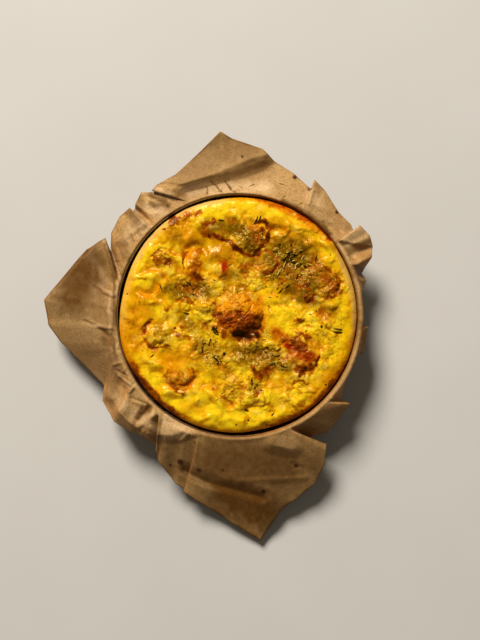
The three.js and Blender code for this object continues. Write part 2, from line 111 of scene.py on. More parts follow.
# The free edge of the baking paper, flap by flap, anticlockwise from the right, as the CAD sheet has it:
# [angle on the rim, angle of the edge point, its reach, its drop below the rim's crest, bulge].
FLAPS = [
    [[8, 7.9, 102.6, 22, 0], [13, 12.5, 107.6, 13, 0], [16, 15.5, 111, 13, 0], [19.5, 19, 110, 18, -1]],
    [[21, 20.4, 112.6, 15, -1], [24.5, 23.6, 121.5, 9, 2], [28.5, 27.4, 126.5, 12, -2],
     [33, 31.5, 128, 7, 0], [36.5, 36.7, 125.5, 3, 1], [37, 34.6, 118, 10, 0]],
    [[38.5, 39, 121, 10, 0], [46, 45.6, 120, 9, 1], [53, 55.5, 126.5, 6, 1], [58.5, 60.7, 129, 3, 1],
     [59, 57.8, 121, 8, 0]],
    [[60.5, 62, 122.5, 9, 0], [67, 68.7, 127.5, 10, 0], [76, 77, 132.5, 10, -1], [83, 81.8, 140, 8, -3],
     [92, 92.2, 147.5, 6, -4], [97, 95.6, 153.5, 3, -5], [103, 104.5, 138, 5, -2.5], [108, 114, 128, 5, -1],
     [112, 122, 128, 3, 1], [113.2, 124.8, 126, 3, 1], [113.8, 124.2, 124.5, 6, 0]],
    [[117, 125.8, 126.5, 6, 0], [122, 128.4, 130.5, 6, 1], [130, 132.6, 127, 9, 0],
     [133.2, 133.9, 125.5, 13, -1], [133.8, 137, 122, 14, 0]],
    [[134.6, 135.3, 126.8, 4, 1], [143, 140, 129, 8, 1], [152, 147, 127, 11, 0], [163, 153.5, 120, 15, -1]],
    [[165.5, 149.7, 127.5, 4, 2], [169, 156.5, 139, 11, -1], [176, 172.6, 160, 19, 0],
     [180.5, 175.3, 165, 21, 0], [187, 182.8, 162, 24, 1], [192, 188.4, 153, 25, 1],
     [198, 198.6, 137, 26, 0], [202, 207.3, 129, 25, -1]],
    [[206, 212, 136, 23, -3], [210, 216, 136.5, 20, -3], [214, 220.4, 137, 12, 3], [220, 226.4, 134, 15, 1],
     [224, 230, 130.5, 16, -1], [228.5, 234, 130, 16, 2], [229.6, 241.5, 131, 21, 0]],
    [[230.6, 238.5, 132.5, 12, 3], [236, 241, 140, 17, 2], [244, 249.5, 153, 27, 1],
     [250.5, 255.6, 158, 31, 0]],
    [[251.8, 252.6, 157.5, 26, 1], [258, 266.6, 176, 35, 1], [271, 275.5, 196, 39, 0],
     [281, 282.3, 171, 33, 1], [286, 287.6, 164, 29, 1], [290, 294.4, 157, 25, 1], [292, 299.9, 146, 20, 2],
     [293.4, 304.4, 131, 14, 2], [294, 300, 119, 19, 0]],
    [[299, 307.5, 124, 21, 0], [304, 312.1, 122.5, 19, 0], [315, 321.7, 119, 12, 1],
     [317, 320.5, 112, 23, 0], [327, 327, 108, 26, 0], [342, 342, 105.5, 27, 0]],
    [[343.5, 343, 110, 11, 1], [353.5, 355.2, 109, 10, 1], [355, 355.5, 105.2, 25, 0]],
]

# Creases of the flaps: [height, half width to the left, to the right, x, y, x, y, ...]; a valley is negative.
CREASES = [
    [4.2, 22, 9, -49, 108, -33, 113, -19, 117.5, -6, 123, 9.5, 130, 24, 134],
    [-2.7, 8, 15, -44, 102, -25, 107, 0, 113, 22, 121], [-1.4, 3, 3, -71, 109, -60, 108.5, -49, 107],
    [-0.35, 0.8, 0.8, -27, 106.4, -25.4, 100], [-0.35, 0.8, 0.8, -22.2, 111, -18, 108, -13.5, 103],
    [-0.35, 0.8, 0.8, -11, 111, -7, 106, -3, 101.7], [0.8, 2, 2, 58, 92, 62, 104],
    [-1.2, 3, 1.2, 70, 76.5, 78, 73.5, 85, 69], [0.6, 6, 6, 60, 92, 82, 86],
    [-1.6, 3.5, 6, -74, 100, -67, 94.6, -62, 93.2, -59.3, 89.1, -55, 86],
    [1, 1.2, 4, -78, 107, -66, 104, -52, 99], [-0.5, 2, 3, -91, 63, -86, 66, -82, 70],
    [1.5, 2.2, 6, -90.2, 89.1, -77.9, 75.3], [-1.6, 2.6, 1.5, -86.8, 90.4, -71.7, 75.3],
    [-1, 1.5, 2.5, -88.9, 66.4, -87.5, 60.9], [-0.9, 2, 2, -102, 44.6, -92, 43.7],
    [1.3, 1.2, 2.4, -110.5, 63, -104.3, 47.4, -99.5, 35], [-2.2, 7, 7, -126.5, 54, -120, 40.6, -116, 25],
    [1.8, 3, 2.2, -116.8, 25.2, -111, 19.4, -96.2, 12.8], [3.2, 26, 2, -118, 59, -137, 41, -160.4, 16],
    [-1.5, 1.6, 2.4, -129, -4.5, -121, -7, -117.6, -7.8],
    [1.3, 1.6, 2.4, -123.5, -5, -113.7, -9.4, -105, -10.3], [-1.8, 3, 3, -115, -11, -107, -17],
    [1.2, 2, 3, -104.5, 24, -103, 0, -104, -30], [2.2, 8, 2.5, -105.5, -31, -105, -40, -111.8, -68.9],
    [-1.5, 13, 9, -90.9, -65.6, -102.6, -85.5], [1.3, 2, 2, -90.9, -63.5, -84.7, -57.4],
    [-2.2, 4.5, 5, -71, -73, -78, -80, -83.4, -86], [1.4, 4, 3, -66.2, -80, -82.7, -92.4],
    [-0.9, 2, 2, -89.6, -68.4, -77.2, -72.5], [1.1, 1.6, 1.6, -104, -41, -96, -38.5],
    [1.3, 2, 2, -100, -50, -88, -58], [-1.1, 1.6, 1.6, -101, -46, -92, -50],
    [3.2, 12, 8, -66, -98, -55, -99, -45, -95, -39.4, -95.2], [4, 14, 8, -106, -70, -93, -87, -80, -97],
    [1.1, 2, 2, -39.4, -95.2, -48.3, -104.1], [1, 1.6, 1.6, -39.4, -95.2, -37.3, -104.1],
    [0.8, 3, 3, -36, -104, -35, -128],
    [-2.2, 9, 6, -46, -131, -30.4, -139.3, -15, -144.4, 4, -149.6, 20, -154.5],
    [0.7, 3, 5, 0.5, -139.3, 21.2, -137.6, 38.3, -137.6, 56, -137], [2.4, 10, 9, 28, -107, 45, -111],
    [-0.7, 2.5, 2, 45.2, -123.8, 60.7, -132.4], [-1.3, 4, 1.2, 44, -92.5, 57, -101, 71, -108],
    [0.8, 8, 8, 62, -95, 84, -80], [1.9, 15, 2.5, 80, 63, 95, 60, 110, 58.5],
    [-1.8, 3, 8, 84, 59, 92, 51, 97, 46], [1.5, 5, 2, 90.6, 43, 98, 42, 108, 42.5],
    [1.1, 1.6, 1.6, 83.7, 56.8, 89, 51, 92, 43], [1.1, 2, 2, 97, 33, 105, 27], [1, 2, 2, 98, 24, 106, 20],
]

# Pleats across the paper's roll: [direction in degrees, height].
PLEATS = [
    [22, -0.7], [37, 0.8], [58, -0.5], [68, -0.4], [100, -0.5], [108, 0.5], [117, -0.8], [135, 0.8],
    [149, -0.5], [160, 0.9], [172, -0.6], [186, 0.9], [196, -0.6], [205, 0.8], [213, -0.8], [223, 0.8],
    [233, -0.9], [245, 0.8], [253, -0.8], [283, 0.6], [295, -0.7], [318, 0.7], [343, -0.4],
]

# The tables of strokes and spots, seen from above, are [half width, strength, x, y, ...] with one point or
# more. First those of the paper: where it is soaked with grease and dark, and where painted shade darkens
# the south flap, the upper west facet and the east rim's outer side, which fall away from the lamp.
GREASE_AND_SHADE = [
    [14, 1, -128, 42, -132, 30, -137, 17], [8, 0.6, -124, 44, -118, 22],
    [2, 0.8, -110.5, 58, -106, 46, -102.5, 31], [1.2, 0.7, -104, 30, -103, 10, -104, -20, -101, -34],
    [2.5, 0.5, -110, 6, -108, -14], [1.5, 0.8, -74, -76, -84, -86], [2.2, 0.7, -66.5, -88, -67.5, -106],
    [4, 0.6, -88, 86, -84, 80], [1.6, 0.8, -73, 93, -67, 90, -62, 92],
    [1.5, 0.8, -72, 100, -63, 95, -59, 91], [3, 0.6, -92, 52, -97, 60], [1, 0.5, -83, 70, -81, 67],
    [2.5, 0.35, -83, 97, -80, 88], [1.6, 0.6, -100, 60, -94, 48, -88, 46], [7, 0.5, -118, 26, -117, 0],
    [4, 0.5, -108, 57, -101, 38], [15, 0.3, -142, -8, -124, -32], [4, 0.7, -112, -12, -109, -20],
    [4, 0.6, -102, -54, -107, -69], [11, 0.5, -42, 117, -18, 134, 8, 138], [5, 0.35, -18, 132, 2, 142],
    [5, 0.45, -10, 117, 6, 122, 20, 128], [0.5, 0.9, -27, 106.4, -25.4, 100],
    [0.5, 0.9, -22.2, 111, -18, 108, -13.5, 103], [0.5, 0.9, -11, 111, -7, 106, -3, 101.7],
    [2.5, 0.5, 90.6, 73.3], [10, 0.5, -56, -110, -52, -124], [20, 0.8, -18, -122, 34, -128],
    [18, 1, -5, -152, 18, -166], [9, 0.5, 56, -118, 62, -130], [8, 0.55, 56, -98, 68, -101],
    [5, 0.4, 86, -82], [3, 0.45, 103.5, 14, 104, -20, 98, -42], [4, 0.8, 105, -8, 105, -32],
    [4, 0.7, 99, 38, 103, 33], [1.5, 0.9, 36, 94.5, 47, 89.5, 57, 83.5, 67, 75.5, 75, 67.5],
    [8, 0.45, -80, -97, -70, -103],
]
# Where its worn edges and folds are pale, with painted highlights where edges and facets face the lamp.
WORN_AND_LIT = [
    [0.9, 1, -111.5, 64, -104.5, 48, -99, 35.5, -95.5, 24], [1, 0.8, -89, 90, -83, 82, -76.5, 74.5],
    [1.2, 0.7, -98, 90, -90, 92.5], [1, 0.7, -83.5, 104.5, -80, 107.5, -62, 104],
    [1.2, 0.7, -72, 112, -62, 121], [5, 0.9, -40, 103, -8, 107, 24, 106],
    [3.2, 0.8, -124, 51, -118, 40, -112, 27], [4, 0.8, -76, 90, -64, 86], [3, 0.6, -70, 104, -58, 98],
    [4, 0.6, -85, 78, -80, 74], [0.9, 0.8, -100.5, 28, -100, 0, -100.5, -28],
    [1, 0.7, -107, 20, -106.5, -16], [1.8, 0.9, -71, -80, -81, -91], [4, 0.7, -62, -87, -50, -92, -42, -95],
    [4, 0.5, -90, 72, -94, 62], [5, 0.5, 60, 100, 66, 94], [7, 0.5, 92, 66, 100, 68],
    [1, 0.7, 84, 57, 89, 52.5, 91.5, 47], [1, 0.7, -119, 27, -110, 21, -98, 14.5],
    [1, 0.6, -121, -5.5, -111, -10], [5, 0.6, -84, -82, -66, -98, -50, -98], [1, 0.8, -40, -96, -47, -104],
    [1, 0.6, -101, -50, -90, -57], [4, 0.4, -104, -66, -96, -74],
    [0.9, 0.5, 44, -93, 58, -101.5, 71, -108.5],
    [0.9, 0.6, -46, -132, -30, -140, -14, -145.5, 4, -150.5, 20, -155], [3, 0.4, 33, -106, 46, -110],
    [3, 0.4, -82, 66, -74, 76],
]
# Where it is greyer.
FADED = [
    [20, 0.9, -150, 22, -132, -12, -116, -36], [14, 0.6, -128, 46, -124, 10], [8, 0.5, -108, -64, -98, -80],
    [14, 0.4, -10, -120, 30, -124], [10, 0.4, -70, -106, -50, -116],
]
# Where it is crumpled.
CRUMPLED = [
    [12, 1.2, -96, -45, -88, -66, -80, -84], [8, 0.5, -100, 30, -100, -20],
    [10, 0.8, -96, 58, -78, 78, -60, 95], [8, 0.25, 100, 45, 101, 30], [8, 0.4, -50, -98],
    [7, 0.35, 10, 108, 50, 98], [8, 0.5, 84, -84, 64, -98],
]

# Where the custard and its crust end in front of the paper: [direction in degrees, radius].
FOOD_EDGE = [
    [0, 97.8], [20, 97.8], [31, 97.9], [37, 98.7], [43, 99.1], [50, 99], [60, 98.4], [70, 98.2], [80, 98],
    [90, 97.7], [100, 97.3], [110, 98.1], [120, 98.4], [130, 98.6], [140, 98.4], [150, 97.7], [160, 97.2],
    [170, 97.2], [180, 98.2], [187, 99.2], [195, 99.7], [200, 99.5], [205, 98.9], [212, 98.4], [230, 98.1],
    [240, 97.6], [252, 97.4], [262, 97.2], [270, 96.8], [280, 95.9], [290, 96.1], [300, 96.9], [310, 97.3],
    [350, 97.5],
]

# Broad swells (+) and hollows (-) of the custard, as the CAD solid has them: [x, y, radius, height].
SWELLS = [
    [42, -12, 16, 1.9], [67, -8, 13, 1.2], [-19, -71, 16, 1.7], [13, -70, 13, 1.2], [-62, -62, 12, 0.8],
    [-77, 13, 12, 1.4], [-71, 32, 11, 1], [38, 81, 14, 1.2], [-27, 9, 12, 1.7], [-33, -33, 12, 1.4],
    [-13, 50, 12, 0.9], [78, 48, 12, 1.2], [48, 41, 16, -2.4], [50, 18, 10, -1.6], [-26, -28, 10, -1.4],
    [19, -30, 11, -1.6], [-22, 62, 10, -1.3], [4, -17, 9, -2.6], [-42, 23, 9, -1.4], [0, -72, 7, -1.5],
]

# Ridges and grooves of the custard's skin, written as the paper's creases are.
FOLDS = [
    [1.2, 4.5, 8, -82, 31, -76, 33, -70, 35, -67, 34],
    [-1.2, 4.5, 3, -84, 20, -78, 17.5, -71, 18.5, -66, 25], [1, 3.8, 6, -70, 10, -66, 9.5, -60, 6],
    [-0.8, 2.2, 2.2, -50, 12, -46, 15, -41, 14, -37, 10], [1.2, 6, 9, -38, 5, -32, 8, -24, 9],
    [1.3, 4.5, 10, -57, -25, -50, -20, -42, -18.5, -38, -22], [1, 3.8, 7, -74, -35, -68, -39.5, -58, -42.5],
    [1.1, 3.8, 6, -58, -63, -52, -66, -46, -65], [1.6, 4.5, 9, -32, -68, -26, -63, -20, -64.5, -12, -71],
    [-1.6, 4.5, 4.5, -10, -62, -8, -68, -6, -74], [1.2, 4.5, 6, -13, -88, -6, -85.5, 4, -87],
    [1.5, 4.5, 8, 1, -73, 6, -68, 13, -66.5, 19, -69], [1.2, 4.5, 8, 21, -67, 28, -66, 38, -66.5],
    [1.3, 4.5, 10, 24, -4, 29, 2, 36, 5, 46, 4, 56, 0, 66, -3, 74, -7],
    [-0.9, 6, 7, 21, -19, 24, -9, 27, -2], [1, 3.8, 6, 10, -23, 17, -20.5, 23, -23],
    [1.3, 4.5, 8, 42, 75, 48, 71.5, 56, 71, 62, 69], [1.4, 4.5, 9, 59, 60, 65, 62, 72, 60.5, 78, 59],
    [1, 3, 5, 31, 65, 36, 67, 40, 70], [-1.5, 5, 5, 8, 76, 24, 74, 36, 71], [-1.5, 5, 5, 60, 12, 70, 4],
    [-1.2, 4.5, 4.5, 41, 18, 45, 13, 50, 10.5, 57, 11, 61, 17],
    [-1, 3, 3, 62, 17, 70, 14.5, 77, 15.5, 84, 20, 85, 26], [1.2, 4.5, 6, 77, 8, 84, 12],
    [-0.9, 2.2, 2.2, 19, 37, 24, 34.5, 30, 37.5, 33, 43], [-1, 3, 3, -73, -4, -77, -9, -78, -16],
    [-1, 3, 3, -78, -22, -75, -26, -69, -27, -63, -25, -58, -19], [0.8, 2.2, 4.5, -77, -17, -71, -16.5],
    [0.9, 4.5, 4.5, -70, -22, -64, -20], [-1, 3, 3.8, -61, -50, -58, -55.5, -53, -58, -45, -59, -39, -56],
    [-1, 2.2, 2.2, -43, 52, -45.5, 46, -45.5, 39], [-0.9, 2.2, 2.2, -70, 49, -66, 53.5, -61, 53.5, -57, 50],
    [-1.4, 7, 7, -45, 56, -28, 58], [0.9, 4.5, 5, 69, -39, 75, -41], [0.9, 3, 6, 46, -48, 57, -48],
    [1, 4.5, 6, 40, -70, 46, -69.5], [1, 4.5, 6, -30, -86, -22, -82, -16, -84],
    [1, 4.5, 5, 20, -86, 30, -84, 38, -80],
]

# Strokes and spots of the food. Baked brown: a narrow stroke is also a groove, the baked outline of a
# floret under the custard. Two strong strokes south of the centre floret paint its cast shadow.
BROWN = [
    [2.8, 0.4, -12.6, 40.5, -11.8, 36.5],
    [1.8, 1.05, -25, 65.5, -18, 64.7, -12, 63.2, -7.3, 61.2, -4.1, 58.4, -1, 54.9, 3, 51.7, 6.9, 50.5, 11.7,
     50.5, 16.4, 52.1, 19.2, 56.4, 21.1, 60],
    [2, 0.9, 21.1, 60, 24.3, 63.6, 25.5, 67.5, 24.7, 71.5, 22.7, 75.4, 18.8, 77.4],
    [2, 0.75, -28.2, 66.5, -28.2, 71.5, -25.1, 75.4, -20, 77.4], [3.2, 0.9, 20, 70.3],
    [4, 0.35, 9, 72, 15, 72], [2.4, 0.45, -8, 78, -5, 77], [3, 0.25, -14, 69, -6, 67],
    [3, 0.9, -54.7, 77.5], [1.1, 0.7, -42.4, 52.9, -44.6, 49, -45.6, 44, -44.8, 39.5],
    [4.4, 0.95, -34.2, 33.6], [5, 0.5, -35, 42], [4.5, 0.5, -33, 52.2],
    [1.1, 0.45, -70, 46, -69, 50.8, -67, 51.9, -62.9, 52.9, -58.1, 49.5], [2.4, 0.75, -58.1, 44],
    [1.5, 0.5, -50.6, 11.8, -43.8, 14.6, -36.9, 9.8], [2.5, 0.5, -56, 6.4], [5, 0.4, -44, 24, -36, 20],
    [1.6, 0.8, 21.1, 35.9, 26, 36.5, 30.1, 37.2, 32.7, 41.9], [1.4, 0.5, 6, 37.8, 5.3, 31.7],
    [4, 0.4, 2, 40, 10, 42], [1.4, 0.7, 22.4, 53.6, 27, 50.5, 32.7, 46.7], [7, 0.25, 40, 36, 52, 26],
    [5, 0.35, 60, 46, 62, 38],
    [1.5, 0.75, 72.3, 39.9, 79.2, 34.4, 83.3, 25.5, 84.7, 20, 79.2, 15.3, 71, 14.6],
    [6, 0.55, 70, 32, 78, 23], [2.6, 0.9, 53.9, 23.5], [1.6, 0.8, 54.5, 17, 56, 13, 60, 13, 61, 17],
    [2, 0.5, 44.3, 13.9], [3.5, 0.5, 38.1, 28.9], [1.6, 0.7, -73.2, -5.8, -76.9, -9.9, -78, -15.3],
    [5, 0.35, -66, 47, -62, 43], [3.5, 0.4, 66, 5, 72, 2],
    [1.3, 0.6, -76.9, -22.9, -73.2, -26.3, -65.6, -26.6, -58.8, -23.5], [2.6, 0.85, -47.2, -9.9],
    [2.5, 0.5, -50.6, -15.3, -40.3, -18.1], [7, 0.3, -54, -51, -44, -52],
    [1.2, 0.55, -57, -45, -60, -49, -59.5, -53.6, -55.4, -57.7, -49.9, -58.8, -43.1, -58.1, -39, -55],
    [1.2, 0.5, -39, -55, -36.2, -49.5, -39, -45], [2.2, 0.5, -51.3, -62.9, -45.1, -63.9],
    [2.2, 0.42, -13, -67.3, -6.1, -73.5], [2.2, 0.5, -20.5, -59.1], [3, 0.4, -4.8, -55.7],
    [3.4, 0.85, 12.5, -44.5, 16.9, -48, 22.4, -46.5, 25.1, -44.7], [4, 0.12, 8, -34, 24, -36],
    [1.6, 0.5, 45, -55.7, 54.6, -54], [2, 0.35, 44.3, -55.7, 41.6, -61.2], [2.6, 0.9, 50.5, -4.4],
    [1, 0.65, 14.6, -61, 16, -65, 19, -64, 18.8, -60.5], [1.5, 0.6, 23, -91.5, 31, -90.5],
    [3, 0.32, 46, -80, 53, -73], [1.8, 0.7, 47.8, -15.4, 52.2, -14.1], [5, 0.85, 47, -23, 53, -25],
    [5.5, 0.6, 56, -33, 60, -37], [3.4, 1, 49.7, -44.5, 53, -44],
    [1.3, 0.9, 65.8, -33, 65.8, -37, 64.2, -42.6], [3, 0.7, 57, -18.9], [4.4, 0.6, 60, -43],
    [8.5, 0.72, -12, -4, 0, -4, 8, -7], [5.5, 0.6, -11, -15], [4, 0.5, 19, -12],
    # Painted shadow: the first stroke below darkens the custard south of the centre floret.
    [4, 1.3, -1, -14, 6, -16, 14, -16], [2, 0.6, -16, -3, -12, -8], [2, 0.6, -5, -6, -4, -12],
    [2, 0.6, 8, -2, 9, -10], [1.6, 0.35, 14.5, 9, 16, 13], [10, 0.2, -20, 50, -10, 52], [4.5, 0.3, -12, 39],
    [1.2, 0.6, 48, 86.5, 58, 80, 66, 74, 74, 65.5, 77, 62], [7, 0.1, 6, 67, 15, 66],
    [3, 0.4, 12, 61, 19, 66], [2.5, 0.6, -28, 74, -26, 70], [8, 0.15, 76, -26, 82, -8],
    # Painted shadow: the last stroke below deepens the centre floret's shadow.
    [8, 0.12, -86, -16, -84, 10], [5, 0.3, 2, -66, 4, -60], [4, 1.3, -2, -15.5, 8, -17.5],
]
# Browned to red.
RED = [
    [1.8, 0.8, -51.3, 80.9, -43.8, 83, -38.3, 83.7, -30.8, 85.4], [1.5, 1, -36, 84.4, -30.8, 85.6],
    [3.6, 0.95, -12.6, 41, -11.8, 38, -11.4, 35.5], [2.6, 0.85, 31.7, -14.1, 37, -19, 42.7, -25.5],
    [2.4, 1.2, 40, -24, 45, -28], [1.3, 0.8, 15, 96, 30, 92.2, 45, 86.5, 56, 80.5],
    [2.2, 1, 52, 83, 58, 80, 66, 74.5, 73, 68.5, 76, 64], [3, 0.5, -88.2, -40], [3, 0.35, 74.4, 19.4],
    [6, 0.75, 44, -29, 56, -36], [3, 0.5, -63, 33], [8, 0.45, -10, -6, 8, -5], [3.5, 0.5, 3, 3],
]
# Lightly browned to orange.
ORANGE = [
    [9, 0.6, -52, 68, -42, 66], [8, 0.3, -33, 55], [8, 0.5, -16, 52, -8, 48], [10, 0.55, -84, 0, -83, -22],
    [3, 0.45, -82, 17, -76, 17, -71, 20, -66, 26], [6, 0.5, 28, 77, 36, 74], [8, 0.5, 46, 66, 58, 62],
    [6, 0.4, 70, 48], [8, 0.6, -54, -31, -42, -36], [9, 0.9, -53, -50, -43, -52],
    [5, 0.5, -44, -74, -32, -78], [6, 0.6, 27, -58, 36, -57], [6, 0.4, 36, -74], [8, 0.5, 62, -62, 76, -48],
    [5, 1, 31, -13, 40, -23], [7, 0.5, 28, -34, 38, -36], [4, 0.5, -92, -5, -93, -25, -88, -40],
    [9, 0.7, -9, 8, 8, 10], [11, 0.7, -8, -2, 10, -4], [4.5, 1, 7.5, 16.9], [5, 0.8, 17, 2, 18, 12],
    [9, 0.8, 48, -30, 58, -34], [6, 0.6, 66, 26, 74, 24], [6, 0.8, 16, 38, 24, 40],
    [6, 0.9, -37, 46, -34, 38], [5, 0.5, -22, 30], [6, 0.4, 24, 30], [6, 0.5, -12, 38],
    [5, 0.6, 22, -7, 22, 4], [7, 0.35, -2, 85, 16, 84],
]
# Olive custard, dull and green-brown.
OLIVE = [
    [9, 0.35, -18, 51, -8, 52], [7, 0.8, -23, 72, -12, 71], [7.5, 1.1, -4, 71, 8, 67, 14, 60],
    [7, 0.9, 4, 60, 14, 57], [6, 0.35, -38, 60, -29, 57], [6, 0.6, -50, 64],
    [8, 1, -54, 22, -42, 19, -28, 20], [6, 0.7, 4, 40, 12, 46, 20, 46], [12, 1, 28, 50, 40, 56, 52, 50],
    [13, 1, 34, 44, 48, 34, 56, 22], [9, 0.9, 58, 48, 62, 38], [8, 0.9, 46, 20, 58, 14],
    [8, 0.8, 66, 38, 76, 26], [6, 0.45, -32, -8, -24, -13], [5, 0.5, 38, 66], [9, 0.6, -31, -27, -19, -34],
    [6, 0.7, -45, -3, -38, -8], [7, 0.5, -10, -46], [10, 0.95, 3, -31, 24, -34], [7, 0.8, 30, -40, 40, -42],
    [6, 0.7, 14, -60], [5, 0.5, -7, -68], [5, 0.5, -22, -24], [6, 0.6, 70, 18, 80, 20],
    [8, 0.6, -8, 32, 2, 34], [5, 0.6, 70, 4, 79, 4], [6, 0.5, -6, 20, 2, 22], [6, 0.6, -66, -12, -60, -18],
    [3.5, 0.7, 4, -78], [5, 0.4, -64, 48, -58, 44], [4, 0.6, 38, 12, 46, 14],
]
# Bright yellow custard. The wide strokes over the south side are partly painted light on the lumps there.
LEMON = [
    [9, 1, -28, 86, -12, 89, 16, 88, 36, 84], [7, 0.8, 40, 78, 52, 72, 64, 66], [5, 1, -84, 28, -73, 31],
    [6, 0.8, -84, 40, -76, 54], [4, 0.8, -50, 46], [6, 0.9, -68, 8, -60, 2], [4, 0.6, -49, 34],
    [9, 1.2, -36, 3, -24, 1], [4, 0.9, -18, 26], [5, 0.9, -14, 14], [5, 0.8, 12, 25, 20, 23],
    [9, 1, 24, 4, 42, 6], [5, 0.7, 60, 6], [6, 0.8, 84, 10, 84, -10], [7, 0.9, 68, 60, 76, 48],
    [6, 0.9, -68, -20, -52, -24], [5, 0.9, -48, -22], [7, 0.9, -25, -18], [7, 0.8, -74, -34, -72, -46],
    [8, 1, -74, -50, -60, -64], [10, 1.1, -50, -68, -32, -80], [10, 1.1, -28, -70, -18, -80, -12, -70],
    [11, 1.1, -20, -84, 0, -88, 20, -84], [5, 0.8, -28, -48], [9, 1, 24, -5, 36, -10],
    [7, 1, 44, 0, 60, -4], [7, 1, 60, -10, 76, -10], [7, 0.9, 78, -24, 76, -38], [6, 0.9, 66, -46, 54, -60],
    [5, 0.8, 30, -50], [10, 1.1, 8, -68, 24, -68], [10, 1.1, 26, -78, 40, -70, 50, -62],
    [6, 0.9, -2, -42, 4, -46], [6, 1, 14, -22, 20, -20], [6, 0.6, 46, -48], [5, 0.7, -10, -24],
]
# Pale spots, the colour of cream; the small ones are mostly painted highlights, glints on the wet skin.
PALE_AND_GLINTS = [
    [1.4, 0.7, -27.3, 29.6], [1.6, 0.8, -17.5, 26], [1.8, 0.8, -14, 24], [2, 0.7, -18, 18.5],
    [1.2, 0.5, -22.3, 73.5, -17, 72.5], [1.8, 0.7, -36, -14.7], [1.8, 0.5, -30.8, -19.5],
    [2, 0.6, -71, -37], [1.8, 0.5, -85.5, -17], [2.2, 0.7, -5, -51.6], [2.2, 0.8, 37.5, -31.8, 42, -33],
    [1.5, 1, 47, -50, 56, -49.4], [2, 0.6, 16, 88.5], [2, 0.7, 47, 84.2], [1.8, 0.6, 50, 70.5],
    [2, 0.7, 71, 64], [1.8, 0.6, 55, 47.5], [2, 0.7, 17, 24.2], [1.2, 0.6, 31.5, 25.5],
    [1.2, 0.5, 50, 21.5], [1.2, 0.5, 66, 31], [1.4, 0.6, 39, 13], [1.8, 0.6, 43.6, -69.5],
    [1.8, 0.8, 37, -76], [1.2, 0.8, 49, -17.5], [1, 0.7, 54, -20.5], [1.4, 0.9, 45, -28.3],
    [1.2, 0.8, 52.3, -29], [1.2, 0.8, 57, -28.5], [1.4, 0.9, 45.5, -40.7], [1.2, 0.8, 51.6, -39.6],
    [1.2, 0.8, 57.3, -36.4], [1.6, 0.8, 71, -40.6], [3, 0.5, -38, 88, -24, 91, -12, 93], [1.5, 0.7, -2, 6],
    [1.2, 0.6, -13, -6], [1.2, 0.6, -12, 4],
]
# Where the custard's skin is smooth.
STILL = [
    [10, 0.7, -22, 53, -8, 52], [10, 0.8, -48, 66, -32, 64], [8, 0.7, -86, -16, -84, 10],
    [8, 0.6, -72, -40], [8, 0.7, 50, 74, 64, 60], [7, 0.6, 84, 8, 82, -24], [9, 0.5, -48, -76, -30, -82],
    [10, 0.5, -20, 86, 20, 88], [7, 0.7, -16, 70, -4, 72], [8, 0.6, 32, 54, 44, 48],
    [7, 0.6, 46, 26, 54, 20], [10, 0.7, -78, 16, -72, 0], [8, 0.5, -60, 10], [9, 0.6, -66, -34, -60, -46],
]
# Where it is crumbly curd.
CRUMBLY = [
    [14, 1, 40, 46, 52, 36], [12, 0.9, 10, 30, 24, 34], [13, 0.9, -30, -26, -16, -34],
    [11, 0.6, -50, 24, -34, 24], [14, 1, 8, -32, 30, -36], [13, 0.9, -6, -60, 14, -62],
    [9, 0.8, -48, -20, -36, -14], [11, 0.7, -26, 6], [12, 0.9, 4, 62, 14, 62], [11, 0.6, 58, -4, 74, -10],
    [11, 0.7, -67, -16], [13, 0.8, 66, 24, 78, 24], [12, 0.5, 36, -68, 50, -60], [9, 0.6, -63, 46],
    [12, 0.9, 48, -24, 58, -38], [7, 0.5, -22, 22, -12, 20], [9, 0.5, -52, 74, -36, 80],
    [9, 0.6, 56, 74, 70, 64], [11, 0.3, 30, 0, 46, -3, 60, -5, 74, -14, 78, -30],
]

# Colours near the rim: half their width and their directions, both in degrees. The baked and browned
# patches of the south side are browned custard with painted shade where the edge falls away from the lamp;
# the pale patch on the left is partly painted light.
RIM_PATCHES = {
    "baked_and_shaded": [13, 215, 224, 232], "browned_and_shaded": [16, 300, 312, 322], "orange": [22, 60],
    "pale_left": [16, 135, 155, 172], "pale_right": [18, 14],
    "crust_left": [16, 110, 125, 142], "crust_right": [16, 2, 20],
}

# Each floret's grain, how far up it the custard reaches as a share of its height, and how deep it has sunk.
FLORETS = {
    "floret_centre": [1, 0.3, 0.6], "floret_right": [1, 0.85, 1.2], "floret_top": [0.9, 0.95, 1.2],
    "floret_top_stalk": [0.5, 0.95, 1.2], "floret_far_left": [0.8, 0.95, 1.2],
    "floret_upper_left": [0.8, 0.95, 1.8], "floret_left": [0.9, 0.95, 1.2],
    "floret_lower_left": [0.7, 0.95, 2.4], "floret_mid_left": [0.8, 0.95, 1.2],
    "floret_upper_right": [0.9, 0.95, 1.2], "floret_far_right": [0.9, 0.95, 1.2],
    "floret_mid_right": [0.9, 0.95, 1.2], "floret_lower": [0.9, 0.95, 1.6],
    "floret_lower_right": [0.8, 0.95, 1.6], "floret_low_far_right": [0.7, 0.95, 1.2],
}
# A floret's head: levels of subdivision, sizes and heights of its knobs, buds and tips, and its broad swell.
HEADS = {
    "big": {"levels": 4, "knob": 8.4, "knob_height": 2.5, "bud": 3.9, "tip_height": 0.6, "tip_shade": 0.7,
            "swell": 2.2},
    "small": {"levels": 3, "knob": 5.6, "knob_height": 1.2, "bud": 2.6, "tip_height": 0.35, "tip_shade": 0.2,
              "swell": 0.8},
}
TIP_SIZE = 1.5

